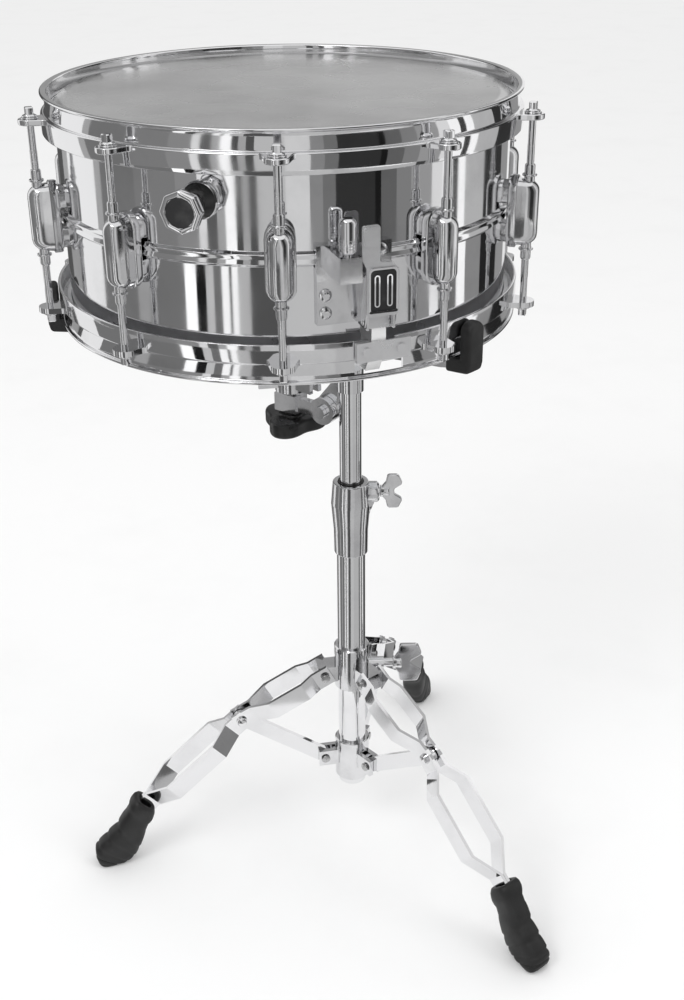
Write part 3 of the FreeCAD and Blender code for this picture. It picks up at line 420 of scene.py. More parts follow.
def onColumn(heading=0):
    return Matrix.Translation(columnCentre) @ tilt(heading, "Z")


def makePiece(name, shape, look, body, stands=(), place=None, sharp=35, edge=0.0, others=()):
    # others are further (shape, finish) pairs that belong to the same piece
    whole = merged(shape, *[other[0] for other in others])
    mesh = bpy.data.meshes.new(name)
    mesh.from_pydata(whole[0], [], whole[1])
    first = len(shape[1])
    mesh.materials.append(finishes[look])
    for slot, (other, otherLook) in enumerate(others, start=1):
        mesh.materials.append(finishes[otherLook])
        for face in mesh.polygons[first:first + len(other[1])]:
            face.material_index = slot
        first += len(other[1])
    work = bmesh.new()
    work.from_mesh(mesh)
    bmesh.ops.recalc_face_normals(work, faces=work.faces)
    work.to_mesh(mesh)
    work.free()
    if place is not None:
        mesh.transform(place)
    for face in mesh.polygons:
        face.use_smooth = True
    mesh.set_sharp_from_angle(angle=math.radians(sharp))
    piece = bpy.data.objects.new(name, mesh)
    bpy.context.scene.collection.objects.link(piece)
    if edge:
        bevel = piece.modifiers.new("edge_round", "BEVEL")
        bevel.width = edge * mm
        bevel.segments = 3
        bevel.limit_method = "ANGLE"
        bevel.angle_limit = math.radians(sharp)
        bevel.harden_normals = True
    if body:
        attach(piece, body)
    if stands:
        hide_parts(*stands)
    return piece


# drum shell and heads

shellSizes = {"radius": 177, "half": 82.5, "wall": 1.2, "edgeRoll": 4, "beadHalf": 5.6, "beadHeight": 3.4}


def makeShell():
    size = shellSizes
    outer, half, wall, roll = size["radius"], size["half"], size["wall"], size["edgeRoll"]
    crest = outer + size["beadHeight"]
    foot = size["beadHalf"]
    side = [(outer, foot, 0.8), (outer, half - roll, 1.6), (outer - roll, half, 0.5), (outer - roll - 1.5, half, 0.5),
            (outer - wall, half - roll - 0.3, 1.4)]
    down = [(across, -up, radius) for across, up, radius in reversed(side)]
    bead = [(crest, -foot + 2.1, 1.1), (crest - 0.9, 0, 3.0), (crest, foot - 2.1, 1.1)]
    corners = down + bead + side
    makePiece("drum_shell", lathe(corners, 256, 6), "chrome", "drum", ["shell"], onDrum(), sharp=60)


headSizes = {"film": 0.4, "collar": 11}


def headOutline():
    outer, half, film = shellSizes["radius"] + 0.3, shellSizes["half"], headSizes["film"]
    edge = shellSizes["radius"] - shellSizes["edgeRoll"] + 1
    top = []
    steps = 24
    for step in range(1, steps + 1):
        across = edge * step / steps
        top.append((across * mm, (half + film) * mm))
    low = [(spot[0], spot[1] - film * mm) for spot in top]
    drop = half - headSizes["collar"]
    outside = [((outer + film) * mm, (half - 3.4) * mm), ((outer + film) * mm, drop * mm)]
    inside = [(outer * mm, drop * mm), (outer * mm, (half - 3.6) * mm)]
    return top + outside + inside + low[::-1]


def makeHead(name, node, look, flip):
    shape = sweepRound(headOutline(), segments=256)
    centre = [(0, 0, (shellSizes["half"] + headSizes["film"]) * mm), (0, 0, shellSizes["half"] * mm)]
    size = len(headOutline())
    points = shape[0] + centre
    faces = [face for face in shape[1] if not (size - 1 in (index % size for index in face)
                                              and 0 in (index % size for index in face))]
    for ring in range(256):
        here, following = ring * size, ((ring + 1) % 256) * size
        faces.append((here, following, len(points) - 2))
        faces.append((following + size - 1, here + size - 1, len(points) - 1))
    place = onDrum() @ (tilt(180, "X") if flip else Matrix.Identity(4))
    makePiece(name, (points, faces), look, "drum", [node], place, sharp=50)


makeShell()
makeHead("batter_head_film", "batter_head", "coated", False)
makeHead("snare_side_film", "snare_side_head", "hazy", True)
print("shell and heads made")


# hoops

hoopSizes = {"inner": 180.9, "outer": 186.9, "wall": 2.3, "rim": 90, "ledge": 74.5, "skirt": 59.5,
             "lipCut": 87, "gateAzimuth": 22, "gateHalf": 3.25, "windowHalf": 6.0}
rodSizes = {"circle": 196, "count": 10, "threads": 16, "threadStart": 38, "pitch": 0.85}
rodAngles = [360 / rodSizes["count"] * index - 90 for index in range(rodSizes["count"])]


def rimCorners():
    size = hoopSizes
    wall, lip = size["wall"], size["outer"] - 0.6
    return [(size["inner"], size["rim"] - 0.1, 1.6), (size["inner"], size["ledge"] - wall, 0.5)], [
        (lip, size["rim"], 1.1), (lip, size["rim"] - wall, 1.1), (size["inner"] + wall, size["rim"] - wall, 1.6)]


def hoopOutline():
    size = hoopSizes
    wall = size["wall"]
    inside, lip = rimCorners()
    ledge = [(size["inner"] + wall, size["ledge"], 1.4), (size["outer"], size["ledge"], 1.8),
             (size["outer"], size["skirt"], 0.6),
             (size["outer"] - wall, size["skirt"], 0.6), (size["outer"] - wall, size["ledge"] - wall, 1.2)]
    return rounded(lip + ledge + inside[::-1], 4)


def lipOutline():
    inside, lip = rimCorners()
    inner, cut = hoopSizes["inner"], hoopSizes["lipCut"]
    return rounded(lip + [(inner + hoopSizes["wall"], cut, 0.3), (inner, cut, 0.3), inside[0]], 4)


def ledgeOutline():
    size = hoopSizes
    wall = size["wall"]
    return rounded([(size["inner"] + 1, size["ledge"], 0.4), (size["outer"], size["ledge"], 1.8),
                    (size["outer"], size["skirt"], 0.6), (size["outer"] - wall, size["skirt"], 0.6),
                    (size["outer"] - wall, size["ledge"] - wall, 1.2),
                    (size["inner"] + 1, size["ledge"] - wall, 0.4)], 4)


def dullInside(piece):
    # the faces behind the skirt and under the ledge are left unpolished
    size = hoopSizes
    piece.data.materials.append(finishes["satin"])
    slot = len(piece.data.materials) - 1
    for face in piece.data.polygons:
        spot = face.center - drumCentre
        behind = spot.xy.length < (size["outer"] - size["wall"] + 0.05) * mm
        if behind and (size["skirt"] + 0.2) * mm < abs(spot.z) < (size["ledge"] - size["wall"] + 0.3) * mm:
            face.material_index = slot


def earShape():
    # a pressed ear: a tongue of the ledge that widens into the hoop and wraps the rod's hole
    outer, circle, ledge = hoopSizes["outer"], rodSizes["circle"], hoopSizes["ledge"]
    tongue = [(outer - 2.2, -14.0), (outer + 0.8, -10.6, 5), (circle, -8.9)]
    tip = [(circle + 8.9 * math.cos(math.radians(angle)), 8.9 * math.sin(math.radians(angle)))
           for angle in range(-75, 76, 15)]
    back = [(circle, 8.9), (outer + 0.8, 10.6, 5), (outer - 2.2, 14.0)]
    outline = rounded(tongue + tip + back, 4)
    return prism(outline, ledge - 4.4, ledge - 0.02)


def makeHoops():
    ears = repeated(earShape(), rodAngles)
    top = merged(sweepRound(hoopOutline(), segments=320), ears)
    dullInside(makePiece("batter_rim", top, "chrome", "drum", ["batter_hoop"], onDrum(), edge=0.9))
    size = hoopSizes
    parts = []
    for centre in (size["gateAzimuth"], size["gateAzimuth"] + 180):
        gate = -(centre - 90)      # the flipped rim counts angles the other way
        window, notch = size["windowHalf"], size["gateHalf"]
        parts.append(sweepRound(hoopOutline(), gate + window, gate + 180 - window, 160))
        parts.append(sweepRound(lipOutline(), gate - window, gate + window, 12))
        parts.append(sweepRound(ledgeOutline(), gate - window, gate - notch, 4))
        parts.append(sweepRound(ledgeOutline(), gate + notch, gate + window, 4))
    low = merged(*parts, repeated(earShape(), [-angle for angle in rodAngles]))
    place = onDrum() @ tilt(180, "X")
    dullInside(makePiece("snare_side_rim", low, "chrome", "drum", ["snare_side_hoop"], place, edge=0.9))


makeHoops()
print("hoops made")


# lugs, sleeves and tension rods

lugSizes = {"halfWidth": 11.0, "halfHeight": 28.0, "base": 181.2, "face": 204.0}


def lugSection(depth, shrink, lift=0.0):
    # one stadium-shaped ring of the lug, shrunk in from its widest
    size = lugSizes
    half = size["halfWidth"] - shrink
    straight = size["halfHeight"] - size["halfWidth"] - lift
    ring = []
    for end, start in ((1, 0), (-1, 180)):
        for step in range(13):
            angle = math.radians(start + 15 * step)
            ring.append(Vector((depth, half * math.cos(angle), end * straight + half * math.sin(angle))) * mm)
    return ring


def makeLugs():
    size = lugSizes
    base, face = size["base"], size["face"]
    rows = [(base, 1.6, 1.0), (base + 0.6, 0.5, 0.0), (base + 2.0, 0.0, 0.0), (base + 6.5, 0.0, 0.0),
            (base + 7.0, 0.5, 0.4), (base + 7.2, 1.1, 0.6), (base + 10.0, 1.4, 0.6)]
    body = []
    for step in range(7):
        angle = math.radians(15 * step)
        body.append((base + 11 + (face - base - 11) * math.sin(angle), 1.5 + 7.4 * (1 - math.cos(angle)),
                     0.6 + 1.4 * (1 - math.cos(angle))))
    cap = loft([lugSection(*row) for row in rows + body])
    foot = rounded([(9.0, 7.6, 1.5), (9.0, 20, 7), (0, 25.5, 6), (-9.0, 20, 7), (-9.0, 7.6, 1.5)], 4)
    high = moved(prism(foot, 176.6, base + 0.4), faceOut)
    low = moved(high, Matrix.Diagonal((1, 1, -1, 1)))
    lug = merged(cap, high, low)
    makePiece("tube_lugs", repeated(lug, rodAngles), "castChrome", "drum", ["lugs"], onDrum(), sharp=28)


def makeSleeves():
    collar = lathe([(2.76, 14), (3.2, 14, 0.2), (4, 15, 0.4), (4, 35.6, 0.4), (3.4, 37, 0.5), (2.76, 37)], 32)
    ring = lathe([(2.76, 27.9), (5.6, 27.9, 0.4), (5.6, 29.4, 0.6), (4, 29.8, 0.2), (2.76, 29.8)], 32)
    one = moved(merged(collar, ring), slide(rodSizes["circle"]))
    both = merged(repeated(one, rodAngles), repeated(one, rodAngles, True))
    makePiece("swivel_sleeves", both, "castChrome", "drum", ["swivel_nuts"], onDrum())


def rodShape():
    seat = hoopSizes["ledge"] + 1.2
    shank = lathe([(0.05, 20, 0), (2.2, 20, 0.3), (2.7, 20.8, 0.3), (2.7, seat + 0.5, 0.1), (0.05, seat + 0.5, 0)], 24)
    threads = []
    for step in range(rodSizes["threads"]):
        level = rodSizes["threadStart"] + rodSizes["pitch"] * step
        threads.append(lathe([(2.3, level, 0), (2.95, level + 0.25, 0.05), (2.95, level + 0.35, 0.05),
                              (2.3, level + 0.6, 0)], 20, 1))
    flange = lathe([(0.05, seat, 0), (5.4, seat, 0.4), (5.4, seat + 1.0, 0.5), (3.6, seat + 1.9, 0.4),
                    (0.05, seat + 1.9, 0)], 32)
    square = rounded([(-3, -3, 0.7), (3, -3, 0.7), (3, 3, 0.7), (-3, 3, 0.7)], 3)
    inner = [spot * 0.82 for spot in square]
    head = loft([[Vector((*spot, (seat + 1.5) * mm)) for spot in square],
                 [Vector((*spot, (seat + 6.4) * mm)) for spot in square],
                 [Vector((*spot, (seat + 7.1) * mm)) for spot in inner]])
    return moved(merged(shank, flange, head, *threads), slide(rodSizes["circle"]))


def makeRods():
    one = rodShape()
    makePiece("batter_key_rods", repeated(one, rodAngles), "chrome", "drum", ["batter_tension_rods"], onDrum())
    makePiece("snare_side_key_rods", repeated(one, rodAngles, True), "chrome", "drum", ["snare_side_tension_rods"],
              onDrum())
    seat = hoopSizes["ledge"]
    washer = lathe([(3.0, seat, 0.1), (6.4, seat, 0.4), (6.4, seat + 1.15, 0.5), (3.0, seat + 1.15, 0.1)], 32)
    washer = moved(washer, slide(rodSizes["circle"]))
    both = merged(repeated(washer, rodAngles), repeated(washer, rodAngles, True))
    makePiece("rod_washer_rings", both, "chrome", "drum", ["rod_washers"], onDrum())


makeLugs()
makeSleeves()
makeRods()
print("lugs and rods made")


# muffler knob and its escutcheon

mufflerSizes = {"azimuth": -17.6, "level": 40, "shell": 177, "mount": 13.4, "grip": 15.0, "disc": 10.2}


def makeMuffler():
    size = mufflerSizes
    shell = size["shell"]
    frame = onDrum(size["azimuth"]) @ slide(z=size["level"])
    bore = 3.1
    flange = lathe([(bore, shell - 4.5, 0), (size["mount"] - 4, shell - 4.5, 0.3), (size["mount"], shell + 0.6, 0.3),
                    (size["mount"], shell + 2.6, 1.0), (size["mount"] - 1.6, shell + 3.8, 0.8),
                    (bore, shell + 3.8, 0)], 64)
    makePiece("muffler_escutcheon", moved(flange, alongX), "chrome", "drum", ["muffler_mount"], frame)
    rows = [(28.2, 2.2), (29.4, 0.6), (30.2, 0.0), (36.2, 0.0), (37.2, 0.7), (37.7, 2.0), (37.7, 3.6), (36.9, 4.2)]
    grip = []
    for out, inset in rows:
        reach = size["grip"] - inset
        corners = [(reach * math.cos(math.radians(45 * step)), reach * math.sin(math.radians(45 * step)), 2.6)
                   for step in range(8)]
        grip.append([Vector(((shell + out) * mm, spot[0], spot[1])) for spot in rounded(corners, 3)])
    shaft = lathe([(0.05, shell - 9, 0), (3.0, shell - 9, 0.4), (3.0, shell + 5, 0.1), (8.2, shell + 14, 2),
                   (8.8, shell + 20, 1), (11.2, shell + 28.6, 1), (0.05, shell + 28.6, 0)], 48)
    # the black taper between escutcheon and knob stands for a rubber washer and for painted shade of the hollow under
    # the knob
    skirt = lathe([(8.3, shell + 13.6, 0.1), (12.6, shell + 5.0, 1.2), (12.6, shell + 4.2, 0.2),
                   (5.4, shell + 4.2, 0.2), (8.1, shell + 13.6, 0.1)], 48)
    # the knob's dished end disc is near-black painted shade
    disc = lathe([(0.05, shell + 36.4, 0), (size["disc"], shell + 36.4, 0.2), (size["disc"], shell + 37.3, 0.3),
                  (6.0, shell + 37.15, 2), (0.05, shell + 37.05, 0)], 48)
    makePiece("muffler_turn_knob", merged(loft(grip), moved(shaft, alongX)), "chrome", "muffler_turner",
              ["muffler_knob"], frame, others=[(moved(skirt, alongX), "plastic"), (moved(disc, alongX), "paintedShade")])


padSizes = {"out": 142, "long": 15.6, "wide": 9.6, "low": 70.1}


def makePad():
    # a stack of inset outlines gives the pressed pad its soft edges
    size = padSizes
    rows = [(0.0, 2.0), (0.7, 0.7), (1.8, 0.0), (6.2, 0.0), (7.4, 0.9), (8.1, 2.4)]
    sections = []
    for rise, inset in rows:
        long, wide = size["long"] - inset, size["wide"] - inset
        ring = rounded([(size["out"] - long, -wide, 4), (size["out"] + long, -wide, 4), (size["out"] + long, wide, 4),
                        (size["out"] - long, wide, 4)], 4)
        sections.append([Vector((spot[0], spot[1], (size["low"] + rise) * mm)) for spot in ring])
    pad = makePiece("muffler_pad", loft(sections), "felt", "muffler_lift", ["muffler_felt"],
                    onDrum(mufflerSizes["azimuth"]), sharp=60)


makeMuffler()
makePad()
print("muffler made")


# snare strainer, snare wires and straps

strainerSizes = {"azimuth": 18, "shift": 8.5, "half": 12.0, "pivot": 192.0, "pivotZ": -44.0, "face": 202.0,
                 "knobOut": 195, "knobAcross": -15}


def slotOutline(across, low, high, half):
    round = half * 0.98
    return rounded([(across - half, low, round), (across + half, low, round), (across + half, high, round),
                    (across - half, high, round)], 4)


def slotRim(across, low, high, out):
    # a raised bright rim round a long narrow slot, and a thin near-black sheet at the slot's floor that is painted
    # shade
    outer = slotOutline(across, low, high, 2.1)
    inner = slotOutline(across, low + 1, high - 1, 1.1)
    levels = [(outer, out - 1.4), (outer, out - 0.3), (outer, out), (inner, out), (inner, out - 1.2)]
    rim = loft([[Vector((level * mm, spot[0], spot[1])) for spot in line] for line, level in levels])
    return rim, moved(prism(inner, out - 1.25, out - 1.0), faceOut)


def makeLever():
    size = strainerSizes
    near, far = size["shift"] - size["half"], size["shift"] + size["half"]
    face = size["face"]
    plate = rounded([(near, -38, 2.5), (far, -38, 2.5), (far, -5, 2.5), (far - 5, 0, 3), (6.5, 0.5, 1.5),
                     (6.5, 26.8, 2.5), (-6.5, 26.8, 2.5), (-6.5, 3, 3), (near, -3, 2)], 4)
    window = rounded([(near + 2.6, -34, 1.5), (far - 2.6, -34, 1.5), (far - 2.6, -4.5, 3), (near + 2.6, -4.5, 3)], 4)
    back = moved(prism(plate, face - 3, face - 1.6), faceOut)
    frameRing = []
    for line, level in ((window, face - 1.55), (window, face - 0.2)):
        frameRing.append([Vector((level * mm, spot[0], spot[1])) for spot in line])
    grown = [Vector((spot[0] + math.copysign(1.3 * mm, spot[0] - size["shift"] * mm),
                     spot[1] + math.copysign(1.3 * mm, spot[1] + 19 * mm))) for spot in window]
    for level in (face, face - 1.55):
        frameRing.append([Vector((level * mm, spot[0], spot[1])) for spot in grown])
    # the window's floor is a thin near-black sheet: painted shade in the recess
    paintedWellShade = moved(prism(window, face - 1.6, face - 1.45), faceOut)
    ridge = rounded([(-5.2, 12, 1.5), (5.2, 12, 1.5), (5.2, 25.4, 2), (-5.2, 25.4, 2)], 3)
    tab = moved(prism(ridge, face - 1.7, face - 0.6), faceOut)
    slots = [slotRim(size["shift"] + side * 4.6, -31, -8, face - 0.1) for side in (-1, 1)]
    cheek = rounded([(188.4, -47.6, 3.4), (195.8, -47.6, 3.4), (200.2, -34, 4), (200.2, -8.2, 1), (197, -8.2, 1),
                     (188.4, -38, 5)], 4)
    cheeks = [moved(prism(cheek, low, low + 1.15), upright) for low in (-near - 1.15, -far)]
    pins = [moved(lathe([(0.05, 0, 0), (2.5, 0, 0.3), (2.5, 2.6, 0.3), (0.05, 2.6, 0)], 24),
                  slide(size["pivot"], start, size["pivotZ"]) @ alongY) for start in (near + 0.4, far - 3.0)]
    rivets = [moved(lathe([(0.05, 0, 0), (2.6, 0, 0.1), (1.9, 0.9, 0.8), (0.05, 1.1, 0)], 24),
                    slide(size["pivot"], start, size["pivotZ"]) @ turnY)
              for start, turnY in ((near + 0.2, upright), (far - 0.2, alongY))]
    bright = merged(loft(frameRing), *cheeks, *pins, *rivets, *[slot[0] for slot in slots])
    # the window floor and the slot floors carry painted shade
    paintedShade = merged(paintedWellShade, *[slot[1] for slot in slots])
    makePiece("strainer_throw_lever", bright, "chrome", "lever", ["strainer_lever"], onDrum(size["azimuth"]),
              sharp=30, edge=0.3, others=[(merged(back, tab), "satin"), (paintedShade, "paintedShade")])


def makeTensionKnob():
    size = strainerSizes
    ridges = [lathe([(6.1, level, 0), (6.45, level + 0.5, 0.2), (6.1, level + 1.0, 0)], 48, 2)
              for level in (11, 13, 15, 17)]
    body = lathe([(0.05, -11.6, 0), (2.5, -11.6, 0.4), (2.5, 8, 0.1), (5.4, 8, 0.5), (6.2, 9.4, 0.6), (6.2, 24, 1),
                  (6.2, 30.4, 4.4), (3.4, 31.9, 0.8), (0.05, 31.9, 0)], 48, 6)
    place = onDrum(size["azimuth"]) @ slide(size["knobOut"], size["knobAcross"])
    makePiece("tension_capsule", merged(body, *ridges), "chrome", "tension_knob", ["strainer_knob"], place)


def slottedHead(radius, height):
    # a domed screw head with a straight slot cut as a groove between two lips
    dome = lathe([(0.05, 0, 0), (radius, 0, 0.2), (radius, height * 0.45, 0.5), (radius * 0.55, height, 1.2),
                  (0.05, height, 0)], 32)
    lip = prism(rounded([(-radius * 0.85, 0.35, 0.1), (radius * 0.85, 0.35, 0.1), (radius * 0.6, 0.9, 0.1),
                         (-radius * 0.6, 0.9, 0.1)], 1), height * 0.8, height + 0.12)
    return merged(dome, lip, moved(lip, Matrix.Diagonal((1, -1, 1, 1))))


screwSizes = {"spots": ((-27, -25), (-27, -38), (14, 4)), "seat": 181.2, "tip": 167.4, "shank": 2.3, "head": 4.5,
              "height": 2.1}


def makeStrainerScrews():
    size = screwSizes
    radius, tip, seat = size["shank"], size["tip"], size["seat"]
    shapes = []
    for turn, (across, up) in enumerate(size["spots"]):
        place = slide(seat, across, up) @ alongX @ tilt(20 + 50 * turn, "Z")
        head = moved(slottedHead(size["head"], size["height"]), place)
        shank = lathe([(0.05, tip, 0), (radius, tip, 0.3), (radius, seat + 0.1, 0.1), (0.05, seat + 0.1, 0)], 20)
        shapes += [head, moved(shank, slide(0, across, up) @ alongX)]
    makePiece("strainer_slotted_screws", merged(*shapes), "chrome", "drum", ["strainer_screws"],
              onDrum(strainerSizes["azimuth"]))


wireSizes = {"count": 20, "pitch": 2.1, "halfLength": 146, "coil": 0.55, "gauge": 0.25, "turn": 2.6, "level": -83.9,
             "azimuth": 21}


def makeWires():
    size = wireSizes
    steps = 8
    count = int(2 * (size["halfLength"] - 4) / size["turn"]) * steps
    shapes = []
    for index in range(size["count"]):
        across = size["pitch"] * (index - (size["count"] - 1) / 2)
        path = []
        for step in range(count + 1):
            angle = math.tau * step / steps
            along = -size["halfLength"] + 4 + size["turn"] * step / steps
            aside, rise = size["coil"] * math.cos(angle), size["coil"] * math.sin(angle)
            path.append(Vector((along, across + aside, size["level"] + rise)) * mm)
        shapes.append(tube(path, size["gauge"] * mm, 5))
    makePiece("snare_coils", merged(*shapes), "steel", "drum", ["snare_wires"], onDrum(size["azimuth"]), sharp=180)


# the strap's edge lines as (out, up), inner and outer; on the drum its foot is held by the wires and its top by the
# carriage, but this piece follows no moving part
strapSizes = {"half": 5.5, "steps": 8, "heldLevel": -84, "movingLevel": -66,
              "inner": [(138, -86), (177, -86), (186.5, -69.5), (188.5, -58), (188.5, -42)],
              "outer": [(138, -86.6), (177.6, -86.6), (187.1, -70), (189.1, -58), (189.1, -42)]}


def makeFrontStrap():
    size = strapSizes
    half, steps = size["half"], size["steps"] * (len(size["inner"]) - 1)
    sections = []
    for step in range(steps + 1):
        inner, outer = between(size["inner"], step / steps), between(size["outer"], step / steps)
        sections.append([Vector((spot.x, side, spot.y)) * mm
                         for spot, side in ((inner, -half), (inner, half), (outer, half), (outer, -half))])
    strap = makePiece("front_strap", loft(sections), "ribbon", None, ["snare_strap_front"],
                      onDrum(wireSizes["azimuth"]), sharp=30)
    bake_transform(strap)


makeLever()
makeFrontStrap()
makeTensionKnob()
makeStrainerScrews()
makeWires()
print("strainer and snares made")


# stand column: clamp, wing screws and rivets

clampSizes = {"bore": 12.75, "low": 314, "high": 382.6, "screwLevel": 372.6, "screwFace": 25.3}
legCollarSizes = {"screwLevel": 195, "screwFace": 38, "pivotZ": 190, "strutZ": 94, "pivot": 27}


def makeClamp():
    size = clampSizes
    low, high, bore = size["low"], size["high"], size["bore"]
    sleeve = lathe([(bore, low), (14.9, low, 0.8), (15.2, low + 22, 20), (17.3, low + 48, 3), (15.6, high, 0.9),
                    (bore - 1.5, high, 0.5), (bore - 1.5, high - 3, 0.3), (bore, high - 3, 0)], 96, 6)
    level = size["screwLevel"] - 0.6
    front = size["screwFace"]
    ear = lathe([(4.5, bore + 2), (9.4, bore + 2, 0.2), (9.2, front - 2.4, 1.6), (7.4, front - 0.6, 0.8),
                 (3.4, front - 0.6, 0.3)], 64)
    sections = []
    for depth, width in ((2, 8.8), (9, 7.6), (16, 5.2), (24, 2.0)):
        root, reach = bore + 2.2, 22.6 - depth * 0.33
        corners = ((root, -width), (reach, -0.8 * width), (reach, 0.8 * width), (root, width))
        sections.append([Vector((x, y, level - depth)) * mm for x, y in corners])
    apron = loft(sections)
    makePiece("height_clamp_casting", merged(sleeve, moved(ear, slide(z=level) @ alongX), apron), "castChrome", "stand",
              ["height_clamp"], onColumn(), edge=0.6)


def wingScrew(tip, face, level, reach, half, radius):
    # a threaded shank, a waisted hub and two ears with a hollow between them
    tips, hollow = face + reach, face + reach * 0.62
    outline = rounded([(face + 1.5, -radius - 1.4, 1), (face + 5, -half * 0.55, 3), (face + 6.5, -half, 2.6),
                       (tips - 4, -half, 3.2), (tips, -half * 0.45, 3.2), (hollow, -2.2, 2.6),
                       (hollow, 2.2, 2.6), (tips, half * 0.45, 3.2), (tips - 4, half, 3.2),
                       (face + 6.5, half, 2.6), (face + 5, half * 0.55, 3), (face + 1.5, radius + 1.4, 1)], 5)
    ears = moved(prism(outline, -2.1, 2.1), upright)
    hub = lathe([(0.05, face, 0), (radius + 2.8, face, 0.8), (radius + 1.2, face + 3.4, 1.5),
                 (radius + 1.8, face + 8.4, 1.4), (0.05, face + 8.4, 0)], 48)
    shank = lathe([(0.05, tip, 0), (radius, tip, 0.4), (radius, face + 0.5, 0.1), (0.05, face + 0.5, 0)], 32)
    return moved(merged(ears, moved(merged(hub, shank), alongX)), slide(z=level))


def makeWingScrews():
    clamp, collar = clampSizes, legCollarSizes
    small = wingScrew(11.3, clamp["screwFace"], clamp["screwLevel"], 20, 16, 3)
    makePiece("height_wing", small, "castChrome", "height_wing", ["height_wing_screw"], onColumn(), edge=1.5, sharp=45)
    large = wingScrew(13.1, collar["screwFace"], collar["screwLevel"], 27, 20, 4)
    makePiece("leg_wing_bolt", large, "castChrome", "leg_wing", ["leg_wing_screw"], onColumn(), edge=1.6, sharp=45)


def rivetShape(halfLength, radius, head):
    shank = lathe([(0.05, -halfLength, 0), (radius, -halfLength, 0.3), (radius, halfLength, 0.3),
                   (0.05, halfLength, 0)], 24)
    cap = lathe([(0.05, 0, 0), (head, 0, 0.3), (head * 0.8, 1.1, 1.2), (0.05, 1.7, 0)], 32, 5)
    caps = [moved(cap, slide(z=halfLength)), moved(cap, slide(z=-halfLength) @ tilt(180, "X"))]
    return moved(merged(shank, *caps), alongY)


legHeadings = (190, 310, 70)
rivetSizes = {"radius": 2.5, "head": 4.4, "legHalf": 14.5, "strutHalf": 8.0,
              "pinchOut": 105, "pinchLevel": 148, "pinchHalf": 8.4, "pinchHead": 4.6}


def makeRivets():
    size, rivet = legCollarSizes, rivetSizes
    upper = rivetShape(rivet["legHalf"], rivet["radius"], rivet["head"])
    lower = rivetShape(rivet["strutHalf"], rivet["radius"], rivet["head"])
    upper = moved(upper, slide(size["pivot"], 0, size["pivotZ"]))
    lower = moved(lower, slide(size["pivot"], 0, size["strutZ"]))
    makePiece("leg_pivot_rivets", repeated(upper, legHeadings), "steel", "leg_slider", ["leg_collar_pins"], onColumn())
    makePiece("strut_pivot_rivets", repeated(lower, legHeadings), "steel", "stand", ["lower_collar_pins"], onColumn())
    head = rivet["pinchHead"]
    cap = lathe([(0.05, 0, 0), (head, 0, 0.3), (head - 1, 1.3, 1.4), (0.05, 1.9, 0)], 32, 5)
    out, half, level = rivet["pinchOut"], rivet["pinchHalf"], rivet["pinchLevel"]
    for index, heading in enumerate(legHeadings, start=1):
        sides = [moved(cap, slide(out, half, level) @ alongY), moved(cap, slide(out, -half, level) @ upright)]
        makePiece("pinch_rivet_%d" % index, merged(*sides), "chrome", "leg_%d_body" % index, place=onColumn(heading))


# rubber feet

footSizes = {"reach": 198, "halfWidth": 11.6, "ribs": 5, "ribDepth": 0.11, "steps": 46,
             "outer": [(10, 73), (21, 57), (30, 41.5), (42, 30), (52.6, 19), (53, 10), (51, 4), (47, 0.8)],
             "inner": [(-7, 58), (2, 36), (10.5, 15), (16, 6), (23, 0.4), (31, 0), (39, 0), (45, 0)]}


def footScale(share):
    size = footSizes
    if share < 0.1:
        return 1.09 - 0.16 * (abs(share - 0.05) / 0.05) ** 3
    if share < 0.14:
        return 0.93
    if share > 0.8:
        return 1.0 - 0.22 * ((share - 0.8) / 0.2) ** 2.5
    phase = (share - 0.14) / 0.66 * size["ribs"] % 1
    return 1.0 - size["ribDepth"] * (1 - phase) ** 4


def footRing(share, scale):
    size = footSizes
    outer, inner = between(size["outer"], share), between(size["inner"], share)
    centre, half = (outer + inner) / 2, (outer - inner) / 2
    ring = []
    for step in range(28):
        angle = math.tau * step / 28
        across = math.copysign(abs(math.cos(angle)) ** 0.62, math.cos(angle)) * scale
        aside = math.copysign(abs(math.sin(angle)) ** 0.62, math.sin(angle)) * scale
        spot = centre + half * across
        ring.append(Vector((size["reach"] + spot.x, size["halfWidth"] * aside, max(spot.y, 0.0))) * mm)
    return ring


def makeFeet():
    steps = footSizes["steps"]
    rows = [footRing(0.05, 0.55), footRing(0.0, 0.62), footRing(0.0, 0.8)]
    rows += [footRing(step / steps, footScale(step / steps)) for step in range(steps + 1)]
    rows += [footRing(1.0, scale) for scale in (0.66, 0.45)]
    for index, heading in enumerate(legHeadings, start=1):
        makePiece("boot_%d" % index, loft(rows), "rubber", "leg_%d_body" % index, ["foot_%d" % index],
                  onColumn(heading), sharp=70)


makeClamp()
makeWingScrews()
makeRivets()
makeFeet()
print("stand pieces made")


# basket: knob and grips

basketSizes = {"tiltHeading": 145, "low": 419, "lobeReach": 5.0, "middle": 25.0, "clawInner": 187.5, "clawOuter": 198,
               "floor": 532.5, "rise": 29.2, "halfWidth": 8.5, "dome": 6.5, "azimuths": (-82, 46, 163)}


def makeBasketKnob():
    size = basketSizes
    rows = [(0.0, 2.4), (0.5, 1.1), (1.6, 0.3), (3.0, 0.0), (10.0, 0.0), (11.6, 0.5), (12.6, 1.4), (13.0, 2.8)]
    sections = []
    for rise, inset in rows:
        ring = []
        for step in range(96):
            angle = math.tau * step / 96
            reach = size["middle"] + size["lobeReach"] * math.cos(3 * angle) - inset
            ring.append(Vector((reach * math.cos(angle), reach * math.sin(angle), size["low"] + rise)) * mm)
        sections.append(ring)
    hub = lathe([(4.1, 431), (12.5, 431, 1), (11.5, 433.9, 1), (4.1, 433.9, 0.3)], 48)
    centre = Vector((drumCentre.x, drumCentre.y, 0))
    makePiece("basket_star_knob", merged(loft(sections), hub), "plastic", "basket_nut", ["basket_knob"],
              Matrix.Translation(centre) @ tilt(10, "Z"), sharp=60)


